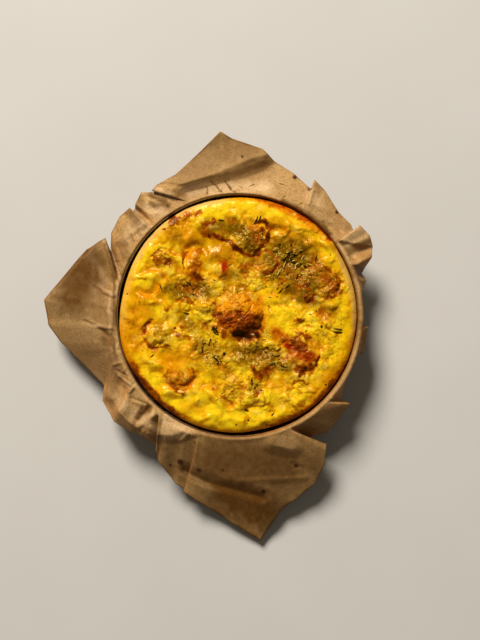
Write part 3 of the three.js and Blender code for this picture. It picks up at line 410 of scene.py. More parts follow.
# Herb leaves placed one by one: [x, y, length, turn in degrees, darkness].
LEAVES = [
    [14.2, 78.6, 9.5, 62, 1], [18, 81, 5, 65, 1], [-14.4, 78.4, 6, -8, 1], [-18.5, -11.6, 8, -52, 1],
    [-19.2, -12.2, 8.5, -50, 1], [-19.9, -12.8, 8, -54, 1], [-41.5, 27, 6, -35, 0.9],
    [-64, 23.5, 6, -62, 0.7], [-43, 2, 6.5, -12, 1], [6.7, -78.2, 10, -22, 0.8], [28, -81.8, 5, 48, 0.7],
    [8.5, -86.5, 3, 85, 0.6], [11, -53.5, 9, 91, 0.6], [64, 47, 6, 80, 0.9], [48, 31, 6, 70, 0.8],
    [55, 39.5, 6, -60, 0.9], [82, -11, 8, -4, 0.6], [82, -13.8, 9, -8, 0.7], [36.5, -42, 5, -30, 1],
    [-71.5, -33.5, 5, 40, 0.7], [24, -26.5, 5, -50, 0.8], [33, -28, 7, 25, 0.7], [-7, 42, 4, 30, 0.6],
    [42, 52, 8, 20, 0.9], [47, 50, 7, -20, 1], [38, 47, 8, 35, 0.8], [52, 53, 7, 10, 0.7],
    [33, 33, 6, 55, 0.6], [58, 26, 6, 60, 0.6], [40, 24, 6, 45, 0.8], [35, 20.5, 7, 50, 0.9],
    [46, 44, 9, -35, 0.8], [-24, -23, 5, 65, 0.8], [-30, -28, 6, 80, 0.7], [-19, -36, 7, -40, 0.9],
    [27, -40, 8, 20, 0.6], [20, -20, 6, 10, 0.5], [-37, 17, 4, 0, 0.7], [33, 35, 11, 58, 0],
    [38, 42, 8, 62, 0.05], [49, 43, 7, 32, 0], [53, 47.5, 6, 66, 0.05], [59.5, 42, 6, -22, 0],
    [44, 45, 7, 10, 0], [47, 40, 6, 80, 0.1], [56, 40, 4.5, -58, 1], [45, 48.5, 4, 15, 1],
    [43, 47, 4, -40, 1], [30, 53, 4, 0, 0.9], [-43, 25, 3.5, 20, 1], [-40, 26, 3, 70, 1],
    [22.5, -30.5, 4, -45, 0.9], [32, -33.5, 4.5, 14, 0.9], [10.5, -56, 8, 88, 0.9], [7, -78, 7, -27, 1],
    [28, -82, 3.5, 50, 0.9], [-15, -38, 3, 30, 0.8], [-26, -35, 4, -60, 0.8],
]
# Patches of scattered leaves: [x, y, spread, count].
LEAF_PATCHES = [
    [44, 47, 8, 9], [36, 52, 8, 6], [50, 36, 12, 13], [36, 32, 10, 14], [12, 66, 9, 8], [-41, 24, 6, 10],
    [-22, -14, 6, 6], [-24, -26, 7, 9], [-20, -36, 7, 10], [24, -34, 10, 9], [36, -40, 5, 6],
    [8, -62, 12, 6], [60, -2, 14, 4], [-14, 22, 12, 6], [24, 18, 10, 5],
]
# Leaves that fell on the paper: [x, y, length, turn].
PAPER_LEAVES = [
    [11, 108, 6, 30], [35, 109, 7, -12], [51, 92, 7, 38], [-16, 103.6, 6, 40], [38, 98, 5, 30],
    [2, 106, 4, -40],
]
# Peppercorns and dark crumbs on the custard: [x, y, radius].
SPECKS = [
    [43.5, 58, 1], [68.4, -9, 1.1], [-52.5, -10.3, 0.9], [-92, 18, 0.7], [-12, -31.5, 1.3], [-18, -36, 0.8],
    [72, -57, 0.8], [7.8, -86.4, 0.8], [-2, -90, 0.7], [-23, -20, 0.9], [57, 62, 0.5], [76, 50, 0.5],
]
# Spots of oil on the paper: [x, y, radius].
OIL_SPOTS = [
    [-49, -123, 3], [-57.5, -126, 1.3], [-33, -130, 1.7], [-13, -129.5, 1.5], [48.5, -126, 2.2],
    [21, -149, 2.4], [3, 132, 1.4], [47, 115.5, 2.2], [59, 105.5, 2.2], [82, 86, 1.8],
]

# Colours as a screen shows them, from 0 to 255.
PAINTS = {
    "custard": (218, 146, 1), "custard_light": (234, 176, 3), "custard_flank_shade": (218, 128, 1),
    "lemon": (255, 217, 24), "orange": (216, 120, 0), "olive": (118, 78, 1), "curd_light_highlight": (251, 225, 66),
    "curd_dark_shade": (160, 92, 1), "cream": (248, 212, 84), "toast_light_and_shade": (168, 86, 1), "toast_and_shade": (112, 44, 1),
    "toast_dark_and_shadow": (56, 17, 1), "red": (166, 38, 1), "pastry": (222, 176, 92), "pastry_dark": (196, 134, 54),
    "pastry_baked_and_shaded": (128, 66, 14), "paper": (174, 130, 72), "paper_light": (204, 162, 102),
    "paper_faded": (162, 134, 92), "paper_mottle": (140, 100, 52), "paper_speck": (212, 174, 120),
    "paper_fibre": (214, 176, 120), "paper_flank_shade": (150, 88, 14), "paper_worn_and_lit": (240, 204, 154),
    "paper_pit": (126, 86, 40), "paper_grease_and_shade": (98, 60, 12), "oil_spot": (70, 28, 8),
    "tinplate": (158, 156, 153), "tinplate_dull": (134, 130, 125), "herb_dry": (186, 154, 44),
    "herb_straw": (236, 208, 104), "herb_black": (22, 16, 3), "herb_brown": (56, 40, 8),
    "floor": (206, 203, 198), "floor_light": (213, 211, 207),
}
# The stage, in metres.
FLOOR = {"size": 6, "place": (0, 0, -0.0002)}
ROOM_LIGHT = {"colour": (1.0, 0.88, 0.7, 1.0), "strength": 0.1}
KEY_LIGHT = {"place": (-1.32, 3.2, 2.95), "aim": (0, 0, 0.03), "size": 1.6, "power": 292,
             "colour": (1.0, 0.94, 0.85)}
CAMERA = {"place": (0.00124, -0.0037, 0.846), "lens": 54.5}

# ---------- number functions

AXIS_PRIMES = [np.uint64(prime) for prime in (73856093, 19349663, 83492791)]
LOW_32_BITS = np.uint64(0xFFFFFFFF)
LOW_24_BITS = np.uint64(0xFFFFFF)


def smooth(x):
    """Eases from 0 to 1."""
    x = np.clip(x, 0, 1)
    return x * x * (3 - 2 * x)


def lattice(corners, seed):
    """A repeatable draw from 0 to 1 for each whole-numbered place of an (n, 3) array, by hashing."""
    c = corners.astype(np.int64).astype(np.uint64)
    n = c[:, 0] * AXIS_PRIMES[0] ^ c[:, 1] * AXIS_PRIMES[1] ^ c[:, 2] * AXIS_PRIMES[2]
    n = (n ^ np.uint64(seed * 2654435761)) & LOW_32_BITS
    for shift, factor in ((15, 2246822519), (13, 3266489917)):
        n = ((n ^ (n >> np.uint64(shift))) * np.uint64(factor)) & LOW_32_BITS
    return ((n ^ (n >> np.uint64(16))) & LOW_24_BITS) / float(LOW_24_BITS)


def noise(points, size, seed):
    """Smooth noise from -1 to 1 at (n, 3) points, with lumps of the given size."""
    p = points / size
    base = np.floor(p)
    share = smooth(p - base)
    total = np.zeros(len(p))
    for corner in np.ndindex(2, 2, 2):
        weight = np.prod(np.where(corner, share, 1 - share), axis=1)
        total += weight * lattice(base + corner, seed)
    return 2 * total - 1


def shifted(points, by, size, seed, axes=2):
    """The points moved by noise along their first axes, so that a pattern read at them wanders."""
    moved = points.copy()
    for k in range(axes):
        moved[:, k] += by * noise(points, size, seed + k)
    return moved


def cells(points, size, seed):
    """Distance from each point to the nearest of one seeded centre in each cell, over the size."""
    p = points / size
    base = np.floor(p)
    nearest = np.full(len(p), 9.0)
    for step in np.ndindex(3, 3, 3):
        cell = base + np.array(step) - 1
        away = p - cell - np.stack([lattice(cell, seed + k) for k in range(3)], axis=1)
        nearest = np.minimum(nearest, np.einsum("ij,ij->i", away, away))
    return np.sqrt(nearest)


def lobes(points, size, seed, merge=7):
    """Rounded lumps round 0, one in each flat cell of the given size, run together where they meet."""
    p = points / size
    base = np.floor(p)
    total = np.zeros(len(p))
    for step in np.ndindex(3, 3):
        cell = base + np.array([step[0] - 1, step[1] - 1, 0])
        away_x = p[:, 0] - cell[:, 0] - lattice(cell, seed)
        away_y = p[:, 1] - cell[:, 1] - lattice(cell, seed + 1)
        total += np.exp(-merge * (away_x**2 + away_y**2))
    return 1 + 1.7 * np.log(total) / merge - 0.6


def flat_points(x, y):
    """Places in plan as (n, 3) points."""
    return np.stack([x, y, np.zeros_like(x)], axis=1)


def outward(angle):
    """Unit steps away from the axis, (n, 2)."""
    return np.stack([np.cos(angle), np.sin(angle)], axis=-1)


def turn_from(angle, degrees_at):
    """Smallest angle in degrees between an angle in radians and a direction in degrees."""
    return np.abs((np.degrees(angle) - degrees_at + 180) % 360 - 180)


def from_line(x, y, line):
    """Distance in plan from each place to a line through [x, y, x, y, ...]."""
    nearest = np.full_like(x, 999.0)
    for k in range(0, max(1, len(line) - 2), 2):
        x1, y1, x2, y2 = (line[k:k + 4] * 2)[:4]
        length = (x2 - x1) ** 2 + (y2 - y1) ** 2
        share = np.clip(((x - x1) * (x2 - x1) + (y - y1) * (y2 - y1)) / max(length, 1e-9), 0, 1)
        away = np.hypot(x - x1 - share * (x2 - x1), y - y1 - share * (y2 - y1))
        nearest = np.minimum(nearest, away)
    return nearest


def painted(x, y, table, seed, wander=0.3, reach=1.7):
    """0 to about 1: how strongly the table's strokes cover each place, with wandering borders."""
    p = flat_points(x, y)
    swing = noise(p, 5, seed) + 0.7 * noise(p, 2.1, seed + 1)
    patchy = 1 + 0.8 * wander * noise(p, 3.1, seed + 2)
    x = x + 1.3 * noise(p, 5.5, 90) + 0.6 * noise(p, 2, 91)
    y = y + 1.3 * noise(p, 5.5, 92) + 0.6 * noise(p, 2, 93)
    total = np.zeros_like(x)
    for half_width, strength, *line in table:
        share = from_line(x, y, line) / half_width * (1 + wander * swing)
        total = np.maximum(total, strength * smooth((reach - share) / (reach - 0.2)))
    return total * patchy


def line_relief(x, y, table, profile):
    """Ridges and valleys along the table's lines, in millimetres; profile shapes their flanks."""
    total = np.zeros_like(x)
    for height, left, right, *line in table:
        rise = np.zeros_like(x)
        for x1, y1, x2, y2 in zip(line[:-2:2], line[1:-2:2], line[2::2], line[3::2]):
            length = math.hypot(x2 - x1, y2 - y1)
            ux, uy = (x2 - x1) / length, (y2 - y1) / length
            along = (x - x1) * ux + (y - y1) * uy
            across = (y - y1) * ux - (x - x1) * uy
            past = np.maximum(0, np.maximum(-along, along - length))
            width = np.where(across > 0, left, right)
            rise = np.maximum(rise, 1 - np.hypot(across / width, past / (0.5 * (left + right))))
        total += height * profile(np.maximum(0, rise))
    return total


# ---------- mesh functions


def add_piece(name, points, faces, material, values=None):
    """A smooth-shaded mesh piece from points in millimetres, riding on the body."""
    mesh = bpy.data.meshes.new(name)
    mesh.from_pydata((np.asarray(points) * MM).tolist(), [], np.asarray(faces).tolist())
    for key, value in (values or {}).items():
        layer = mesh.attributes.new(key, "FLOAT", "POINT").data
        layer.foreach_set("value", np.asarray(value, np.float32))
    mesh.polygons.foreach_set("use_smooth", np.ones(len(mesh.polygons), bool))
    mesh.materials.append(material)
    piece = bpy.data.objects.new(name, mesh)
    bpy.context.collection.objects.link(piece)
    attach(piece, "root")
    return piece


def grid_faces(columns, rows):
    """Quads of a grid that closes on itself, stored column by column."""
    i = np.arange(columns)[:, None] * rows
    after = (np.arange(columns)[:, None] + 1) % columns * rows
    j = np.arange(rows - 1)[None, :]
    return np.stack([i + j, i + j + 1, after + j + 1, after + j], axis=-1).reshape(-1, 4)


def lathe(profile, segments):
    """Points and quads of a closed ring: a closed profile of (r, z) turned round the Z axis."""
    r, z = np.array(profile).T
    angle = np.linspace(0, 2 * math.pi, segments, endpoint=False)[:, None]
    points = np.stack([r * np.cos(angle), r * np.sin(angle), z + 0 * angle], axis=-1)
    rows = len(r)
    i, j = np.arange(segments)[:, None], np.arange(rows)[None, :]
    a, b = i * rows + j, ((i + 1) % segments) * rows + j
    up_a, up_b = i * rows + (j + 1) % rows, ((i + 1) % segments) * rows + (j + 1) % rows
    return points.reshape(-1, 3), np.stack([a, b, up_b, up_a], axis=-1).reshape(-1, 4)


# ---------- materials


def srgb(red, green, blue):
    """A linear colour from 0 to 255 screen values."""
    linear = [((c / 255 + 0.055) / 1.055) ** 2.4 if c > 10 else c / 3294 for c in (red, green, blue)]
    return (*linear, 1.0)


class Surface:
    """A Principled material with short helpers for its nodes, and the colour built up so far."""

    def __init__(self, name, **inputs):
        self.material = bpy.data.materials.new(name)
        self.material.use_nodes = True
        self.nodes = self.material.node_tree.nodes
        self.links = self.material.node_tree.links
        self.shader = self.nodes["Principled BSDF"]
        for key, value in inputs.items():
            self.shader.inputs[key.replace("_", " ")].default_value = value
        self.place = self.nodes.new("ShaderNodeTexCoord").outputs["Object"]
        self.colour = None

    def noise(self, scale, detail, stretch=None):
        """Noise in object space; scale is lumps per metre."""
        node = self.nodes.new("ShaderNodeTexNoise")
        node.inputs["Scale"].default_value = scale
        node.inputs["Detail"].default_value = detail
        node.inputs["Roughness"].default_value = 0.55
        self.links.new(self.stretched(stretch) if stretch else self.place, node.inputs["Vector"])
        return node.outputs["Fac"]

    def stretched(self, factors):
        """Object space with its axes scaled."""
        node = self.nodes.new("ShaderNodeMapping")
        node.inputs["Scale"].default_value = factors
        self.links.new(self.place, node.inputs["Vector"])
        return node.outputs["Vector"]

    def value(self, name):
        """A number painted on the mesh."""
        node = self.nodes.new("ShaderNodeAttribute")
        node.attribute_name = name
        return node.outputs["Fac"]

    def upward(self):
        """1 where the surface faces up and 0 where it is upright."""
        split = self.nodes.new("ShaderNodeSeparateXYZ")
        normal = self.nodes.new("ShaderNodeNewGeometry").outputs["Normal"]
        self.links.new(normal, split.inputs["Vector"])
        return split.outputs["Z"]

    def between(self, fac, low, high):
        """0 to 1 as fac goes from low to high."""
        node = self.nodes.new("ShaderNodeMapRange")
        node.inputs["From Min"].default_value = low
        node.inputs["From Max"].default_value = high
        self.links.new(fac, node.inputs["Value"])
        return node.outputs["Result"]

    def math(self, operation, a, b):
        node = self.nodes.new("ShaderNodeMath")
        node.operation = operation
        for socket, value in zip(node.inputs, (a, b)):
            if isinstance(value, (int, float)):
                socket.default_value = value
            else:
                self.links.new(value, socket)
        return node.outputs["Value"]

    def times(self, a, b):
        return self.math("MULTIPLY", a, b)

    def plus(self, a, b):
        return self.math("ADD", a, b)

    def mix(self, fac, a, b):
        """A colour between a and b, each the name of a paint or a socket."""
        node = self.nodes.new("ShaderNodeMix")
        node.data_type = "RGBA"
        sockets = {s.identifier: s for s in node.inputs}
        self.links.new(fac, sockets["Factor_Float"])
        for key, value in (("A_Color", a), ("B_Color", b)):
            if isinstance(value, str):
                sockets[key].default_value = srgb(*PAINTS[value])
            else:
                self.links.new(value, sockets[key])
        return next(s for s in node.outputs if s.identifier == "Result_Color")

    def layer(self, cover, strength, paint):
        """Lays a paint over the colour, as far as cover (0 to 1) times strength says."""
        self.colour = self.mix(self.times(cover, strength), self.colour, paint)

    def roughness(self, socket):
        self.links.new(socket, self.shader.inputs["Roughness"])

    def bump(self, height, distance, strength):
        """Adds relief under any that is already there; distance is in metres."""
        node = self.nodes.new("ShaderNodeBump")
        node.inputs["Distance"].default_value = distance
        node.inputs["Strength"].default_value = strength
        self.links.new(height, node.inputs["Height"])
        normal = self.shader.inputs["Normal"]
        if normal.is_linked:
            self.links.new(normal.links[0].from_socket, node.inputs["Normal"])
        self.links.new(node.outputs["Normal"], normal)

    def finished(self):
        self.links.new(self.colour, self.shader.inputs["Base Color"])
        return self.material


def food_material(name, roughness):
    """Custard and florets: painted patches, glossy with fat, with a fine curd where it is crumbly, and
    painted highlight and shade on the fine curd and on steep flanks.
    """
    s = Surface(name, Roughness=roughness, Subsurface_Weight=0.14, Subsurface_Scale=0.0013,
                Subsurface_Radius=(1.0, 0.6, 0.1), Coat_Weight=0.04, Coat_Roughness=0.06,
                Specular_IOR_Level=0.25, Specular_Tint=(1.0, 0.88, 0.32, 1.0))
    broad, fine, grain = s.noise(95, 3), s.noise(420, 3), s.noise(1100, 3)
    rough = s.plus(s.times(s.value("crumb"), 0.75), 0.25)
    curd = s.plus(s.times(fine, 0.6), s.times(grain, 0.4))
    # The brown mark, deeper still in the pits of the fine curd's bump as painted shade.
    toast_and_shade = s.plus(s.value("brown"), s.times(s.math("SUBTRACT", curd, 0.5), -1.6))
    s.colour = s.mix(s.between(broad, 0.36, 0.66), "custard", "custard_light")
    s.layer(s.value("lemon"), 0.9, "lemon")
    # Painted warm shade: steep flanks turn deeper orange.
    s.layer(s.between(s.upward(), 0.985, 0.86), 0.6, "custard_flank_shade")
    s.layer(s.value("orange"), 0.8, "orange")
    s.layer(s.value("olive"), 1, "olive")
    # Painted highlight on the tops of the fine curd's bump and painted shade in its pits.
    s.layer(s.times(s.between(curd, 0.52, 0.66), rough), 0.55, "curd_light_highlight")
    s.layer(s.times(s.between(curd, 0.48, 0.36), rough), 0.4, "curd_dark_shade")
    s.layer(s.value("pale"), 0.8, "cream")
    s.layer(s.value("crust"), 0.8, "pastry")
    s.layer(s.between(toast_and_shade, 0.1, 0.5), 1, "toast_light_and_shade")
    s.layer(s.value("red"), 0.85, "red")
    s.layer(s.between(toast_and_shade, 0.5, 0.95), 1, "toast_and_shade")
    s.layer(s.between(toast_and_shade, 0.95, 1.35), 1, "toast_dark_and_shadow")
    dull = s.times(s.plus(s.value("orange"), s.value("crust")), 0.12)
    s.roughness(s.plus(s.between(fine, 0.9 - 2.4 * roughness, 2.9 - 2.4 * roughness), dull))
    s.bump(s.times(fine, rough), 0.0007, 0.8)
    s.bump(s.times(grain, rough), 0.00035, 0.8)
    return s.finished()


def pastry_material():
    """Baked pastry, browner where it is painted so, partly as painted shade."""
    s = Surface("pastry", Roughness=0.7, Subsurface_Weight=0.08, Subsurface_Scale=0.0015)
    crumb, fine = s.noise(230, 5), s.noise(1400, 4)
    s.colour = s.mix(s.between(crumb, 0.35, 0.7), "pastry", "pastry_dark")
    s.layer(s.value("baked_and_shaded"), 1, "pastry_baked_and_shaded")
    s.bump(crumb, 0.0008, 0.7)
    s.bump(fine, 0.0004, 0.8)
    return s.finished()


def paper_material():
    """Brown baking paper: mottled, fibrous, worn, faded and greasy in places, with painted highlight and
    shade.
    """
    s = Surface("baking_paper", Roughness=0.6, Specular_IOR_Level=0.2, Specular_Tint=(1.0, 0.9, 0.7, 1.0))
    cloud, mottle, speck = s.noise(38, 4), s.noise(230, 5), s.noise(700, 3)
    fibre = s.noise(2600, 3, stretch=(0.25, 1.0, 1.0))
    s.colour = s.mix(s.between(cloud, 0.33, 0.67), "paper", "paper_light")
    s.layer(s.value("faded"), 0.8, "paper_faded")
    s.layer(s.between(mottle, 0.42, 0.7), 0.5, "paper_mottle")
    s.layer(s.between(speck, 0.42, 0.66), 0.42, "paper_speck")
    s.layer(s.between(fibre, 0.35, 0.7), 0.35, "paper_fibre")
    # Painted shade: steep flanks turn darker and more saturated.
    s.layer(s.between(s.upward(), 0.97, 0.6), 0.55, "paper_flank_shade")
    # Paler worn folds and edges, with painted highlights where they face the lamp.
    s.layer(s.value("worn_and_lit"), 0.6, "paper_worn_and_lit")
    s.layer(s.between(speck, 0.5, 0.34), 0.36, "paper_pit")
    # Grease stains, and the painted shade carried by the same mark.
    s.layer(s.times(s.value("grease_and_shade"), s.between(speck, -1.6, 0.6)), 1, "paper_grease_and_shade")
    s.layer(s.value("spot"), 1, "oil_spot")
    s.bump(mottle, 0.0004, 0.6)
    s.bump(speck, 0.00015, 0.7)
    s.bump(fibre, 0.00016, 0.7)
    return s.finished()


def tin_material():
    """Tinplate with fine lines round it."""
    s = Surface("tinplate", Metallic=1.0, Roughness=0.38)
    wear, lines = s.noise(60, 5), s.noise(900, 2, stretch=(0.05, 0.05, 1.0))
    s.colour = s.mix(s.between(wear, 0.35, 0.7), "tinplate", "tinplate_dull")
    s.roughness(s.between(wear, -0.4, 2.0))
    s.bump(lines, 0.00008, 0.5)
    return s.finished()


def herb_material():
    """Dried herbs and pepper, from straw yellow to black."""
    s = Surface("herb", Roughness=0.7, Specular_IOR_Level=0.1, Specular_Tint=(1.0, 0.9, 0.5, 1.0))
    fine = s.noise(900, 3)
    light = s.mix(fine, "herb_dry", "herb_straw")
    dark = s.mix(fine, "herb_black", "herb_brown")
    s.colour = s.mix(s.between(s.value("dark"), 0.1, 0.7), light, dark)
    s.bump(fine, 0.0003, 0.6)
    return s.finished()


def floor_material():
    """The stage's pale floor."""
    s = Surface("pale_floor", Roughness=0.7)
    s.colour = s.mix(s.noise(9, 4), "floor", "floor_light")
    return s.finished()


MATERIALS = {
    "custard": food_material("custard", 0.34),
    "floret": food_material("floret", 0.43),
    "pastry": pastry_material(),
    "tin": tin_material(),
    "herb": herb_material(),
    "paper": paper_material(),
    "floor": floor_material(),
}


# ---------- the baking paper


def paper_columns():
    """For each column of the sheet: rim angle, and the free edge's place, drop and bulge."""
    stations = [point for flap in FLAPS for point in flap]
    columns = []
    for before, after in zip(stations, stations[1:] + stations[:1]):
        rim, edge, reach, *form = before
        next_rim, next_edge, next_reach, *next_form = after
        span = (next_rim - rim) % 360
        start = reach * outward(math.radians(edge))
        end = next_reach * outward(math.radians(next_edge))
        for share in np.arange(0, 1, 1 / max(3, round(span / COLUMN_STEP))):
            place = start + (end - start) * share
            eased = np.array(form) + np.subtract(next_form, form) * smooth(share)
            columns.append([math.radians(rim + span * share), *place, *eased])
    return np.array(columns)


def facets(points, size, seed):
    """Flat triangles with sharp creases between them, from -1 to 1."""
    v = points[:, 1] / (size * 0.866)  # the height of an even-sided triangle
    u = points[:, 0] / size - 0.5 * v
    base = np.stack([np.floor(u), np.floor(v), 0 * u], axis=1)
    across, up = u - base[:, 0], v - base[:, 1]
    far = across + up > 1
    first = np.where(far, across + up - 1, 1 - across - up)
    total = first * lattice(base + far[:, None] * [1, 1, 0], seed)
    total += np.where(far, 1 - up, across) * lattice(base + [1, 0, 0], seed)
    total += np.where(far, 1 - across, up) * lattice(base + [0, 1, 0], seed)
    return 2 * total - 1


def crumple(x, y):
    """Flat facets and sharp creases of handled paper, in millimetres."""
    bent = shifted(flat_points(x, y), 2.5, 21, seed=40)
    rough = painted(x, y, CRUMPLED, 42)
    total = (0.5 + 1.3 * rough) * facets(bent, 31, 43) + (0.2 + 1.1 * rough) * facets(bent, 12, 44)
    return total + (0.06 + 0.5 * rough) * facets(bent, 6, 45)


def paper_wall(angle):
    """The radius of the paper's upright wall, which leans a little to one side of the tin."""
    return PAPER_WALL - WALL_LEAN * (0.5 + 0.5 * np.cos(angle - math.radians(5))) ** 2


def paper_crest(angle):
    """The radius at which the paper's roll over the rim is highest."""
    return BEAD_R + 0.5 + 0.9 * np.cos(angle - math.radians(200))


def pleats(angle):
    """Small folds that cross the roll, in millimetres."""
    return sum(height * np.maximum(0, 1 - turn_from(angle, at) / 1.3) for at, height in PLEATS)


def paper_rows(angle, reach, drop, bulge):
    """Rows of the sheet from its floor to its free edge, with one value for each column.

    Each is the radius, the height, and the share of the way from the rim's crest to the free edge.
    """
    wall, crest = paper_wall(angle), paper_crest(angle)
    to_r, to_z = reach - crest, CREST_Z - drop - BEAD_Z
    away = np.hypot(to_r, to_z)
    leave = np.minimum(math.pi / 2, np.arctan2(to_z, to_r) + np.arccos(ROLL_RADIUS / away))
    ring = np.column_stack([60 * outward(angle), 0 * angle])
    wrinkle = np.abs(noise(ring, 2.4, 60)) * 0.5 + np.abs(noise(ring, 6.5, 61)) * 0.9
    fold = pleats(angle)
    rows = []

    def row(r, z, share=0):
        rows.append((r, z + 0 * angle, share + 0 * angle))

    row(wall - PAPER_CORNER, PAPER_FLOOR)
    row(wall - 1, PAPER_FLOOR + 1)
    row(wall, PAPER_FLOOR + PAPER_CORNER)
    for z in np.linspace(PAPER_FLOOR + 8, BEAD_Z - 0.3, 9):
        row(wall - wrinkle * smooth((z - 20) / 18) * 0.3, z)
    for turn in np.radians([165, 150, 135, 120, 105, 90]):
        lift = np.sin(turn) * (ROLL_RADIUS + 0.6 * fold * np.sin(turn)) - 0.35 * wrinkle * np.sin(turn)
        row(crest + np.cos(turn) * (crest - wall), BEAD_Z + lift)
    for share in (0.2, 0.4, 0.6, 0.8, 1.0):
        turn = math.pi / 2 + (leave - math.pi / 2) * share
        lift = ROLL_RADIUS + 0.6 * fold - 0.35 * wrinkle
        r = crest + np.cos(turn) * lift
        row(r, BEAD_Z + np.sin(turn) * lift, (r - crest) / to_r)
    start_r, start_z = rows[-1][0] - crest, rows[-1][1] - BEAD_Z
    for share in np.arange(1, FLAP_ROWS + 1) / FLAP_ROWS:
        lift = bulge * 4 * share * (1 - share)
        r = start_r + (to_r - start_r) * share + lift * np.cos(leave)
        z = start_z + (to_z - start_z) * share + lift * np.sin(leave)
        row(crest + r, BEAD_Z + z, r / to_r)
    return rows


def paper_points():
    """The sheet's points, column by column from its middle to its free edge, before its creases."""
    angle, edge_x, edge_y, drop, bulge = paper_columns().T
    edge = np.stack([edge_x, edge_y], axis=1)
    crest = paper_crest(angle)[:, None] * outward(angle)
    rows = paper_rows(angle, np.hypot(edge_x, edge_y), drop, bulge)
    points = np.zeros((len(angle), len(rows) + 1, 3))
    points[:, 0, :2] = CENTRE_HOLE * outward(angle)
    points[:, 0, 2] = PAPER_FLOOR
    for k, (r, z, share) in enumerate(rows, 1):
        share = share[:, None]
        straight = r[:, None] * outward(angle)
        points[:, k, :2] = np.where(share > 0, crest + (edge - crest) * share, straight)
        points[:, k, 2] = z
    return points


def paper_values(x, y, past_crest, valley, row_share):
    """How greasy, spotted, worn and faded each place of the sheet is.
    The grease mark also holds painted shade, and the worn mark painted highlights.
    """
    torn = noise(flat_points(x, y), 7, 71)
    edge_tan = smooth((row_share - 0.96) / 0.04) * 0.4 * (0.6 + torn)
    # Painted shade with grease: the inside of the roll darkens most on the side towards the lamp, where that
    # slope faces away from it.
    far_side = 0.5 + 0.5 * np.sin(np.arctan2(y, x))
    inside = (0.4 + 0.3 * torn) * smooth(-past_crest / 2) * far_side
    spot = np.zeros_like(x)
    for px, py, radius in OIL_SPOTS:
        ring = np.hypot(x - px, y - py) / radius
        spot = np.maximum(spot, 0.95 * smooth(2.2 * (1.1 - ring)))
    return {
        "spot": spot,
        "grease_and_shade": np.clip(edge_tan + valley + inside + painted(x, y, GREASE_AND_SHADE, 72, 0.15, 2.4), 0, 1),
        "worn_and_lit": np.clip(painted(x, y, WORN_AND_LIT, 74, 0.2), 0, 1),
        "faded": np.clip(painted(x, y, FADED, 77), 0, 1),
    }


def baking_paper():
    """The sheet with its creases, pleats and stains, as thin as real paper."""
    points = paper_points()
    columns, rows, _ = points.shape
    flat = points.reshape(-1, 3)
    x, y, z = flat.T.copy()
    past_crest = np.hypot(x, y) - paper_crest(np.arctan2(y, x))
    out = smooth((past_crest + 0.5) / 4)
    relief = line_relief(x, y, CREASES, lambda rise: rise**1.15) + crumple(x, y)
    flat[:, 2] = np.maximum(z + out * relief, LOWEST_PAPER)
    # Painted shade: the paper darkens in the valleys of its creases.
    valley = smooth(-relief / 2.2) * out * 0.3
    row_share = np.tile(np.linspace(0, 1, rows), columns)
    piece = add_piece("paper_sheet", flat, grid_faces(columns, rows), MATERIALS["paper"],
                      paper_values(x, y, past_crest, valley, row_share))
    skin = piece.modifiers.new("thickness", "SOLIDIFY")
    skin.thickness = PAPER_THICKNESS * MM
    skin.offset = 0
    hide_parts("baking_paper")
    return piece


# ---------- the custard


def floret_plan(node, x, y):
    """How far each place is from a floret's middle: 1 on its outline."""
    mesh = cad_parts[node].data
    corners = np.array([v.co for v in mesh.vertices])[:, :2] / MM
    low, high = box_mm(node)
    middle = ((low + high) / 2)[:2]
    spread, axes = np.linalg.eigh(np.cov((corners - middle).T))
    away = (np.stack([x, y], axis=1) - middle) @ axes / np.sqrt(3 * spread)
    return np.hypot(*away.T)


def ripple(x, y, wavelength, phase):
    """A gentle uneven swell from about -1 to 1."""
    f = 2 * math.pi / wavelength
    bend = np.sin(0.53 * f * y + 1.7 * phase)
    sway = np.sin(0.61 * f * x - 1.3 * phase)
    return 0.5 * (np.sin(f * x + 1.6 * bend + phase) + np.sin(f * y + 1.5 * sway - 2 * phase))


def food_edge(angle):
    """The radius at which the custard ends, round the tin."""
    directions, radii = np.array(FOOD_EDGE).T
    return np.interp(np.degrees(angle), directions, radii, period=360)


def custard_form(x, y):
    """The custard's top as the CAD solid has it, and 1 inside its fallen edge, going to 0 on it."""
    r, angle = np.hypot(x, y), np.arctan2(y, x)
    shoulder = np.clip((r - food_edge(angle) + SHOULDER) / SHOULDER, 0, 1)
    inward = 1 - shoulder**2
    z = CUSTARD_LEVEL - EDGE_DROP * shoulder**3.6
    for sx, sy, radius, height in SWELLS:
        d = np.hypot(x - sx, y - sy) / radius
        z += height * np.exp(-2.2 * d * d) * inward
    z += (0.55 * ripple(x, y, 23, 0.4) + 0.4 * ripple(x, y, 12.5, 2.1)) * (0.25 + 0.75 * inward)
    for node, (_, cover, sunk) in FLORETS.items():
        away = floret_plan(node, x, y)
        low, high = box_mm(node)
        middle = (low + high)[:2] / 2
        stands = high[2] - sunk - z[np.argmin(np.hypot(x - middle[0], y - middle[1]))]
        z += cover * stands * np.clip(1 - (away / 1.3) ** 2, 0, 1) ** 1.5
    return z, inward


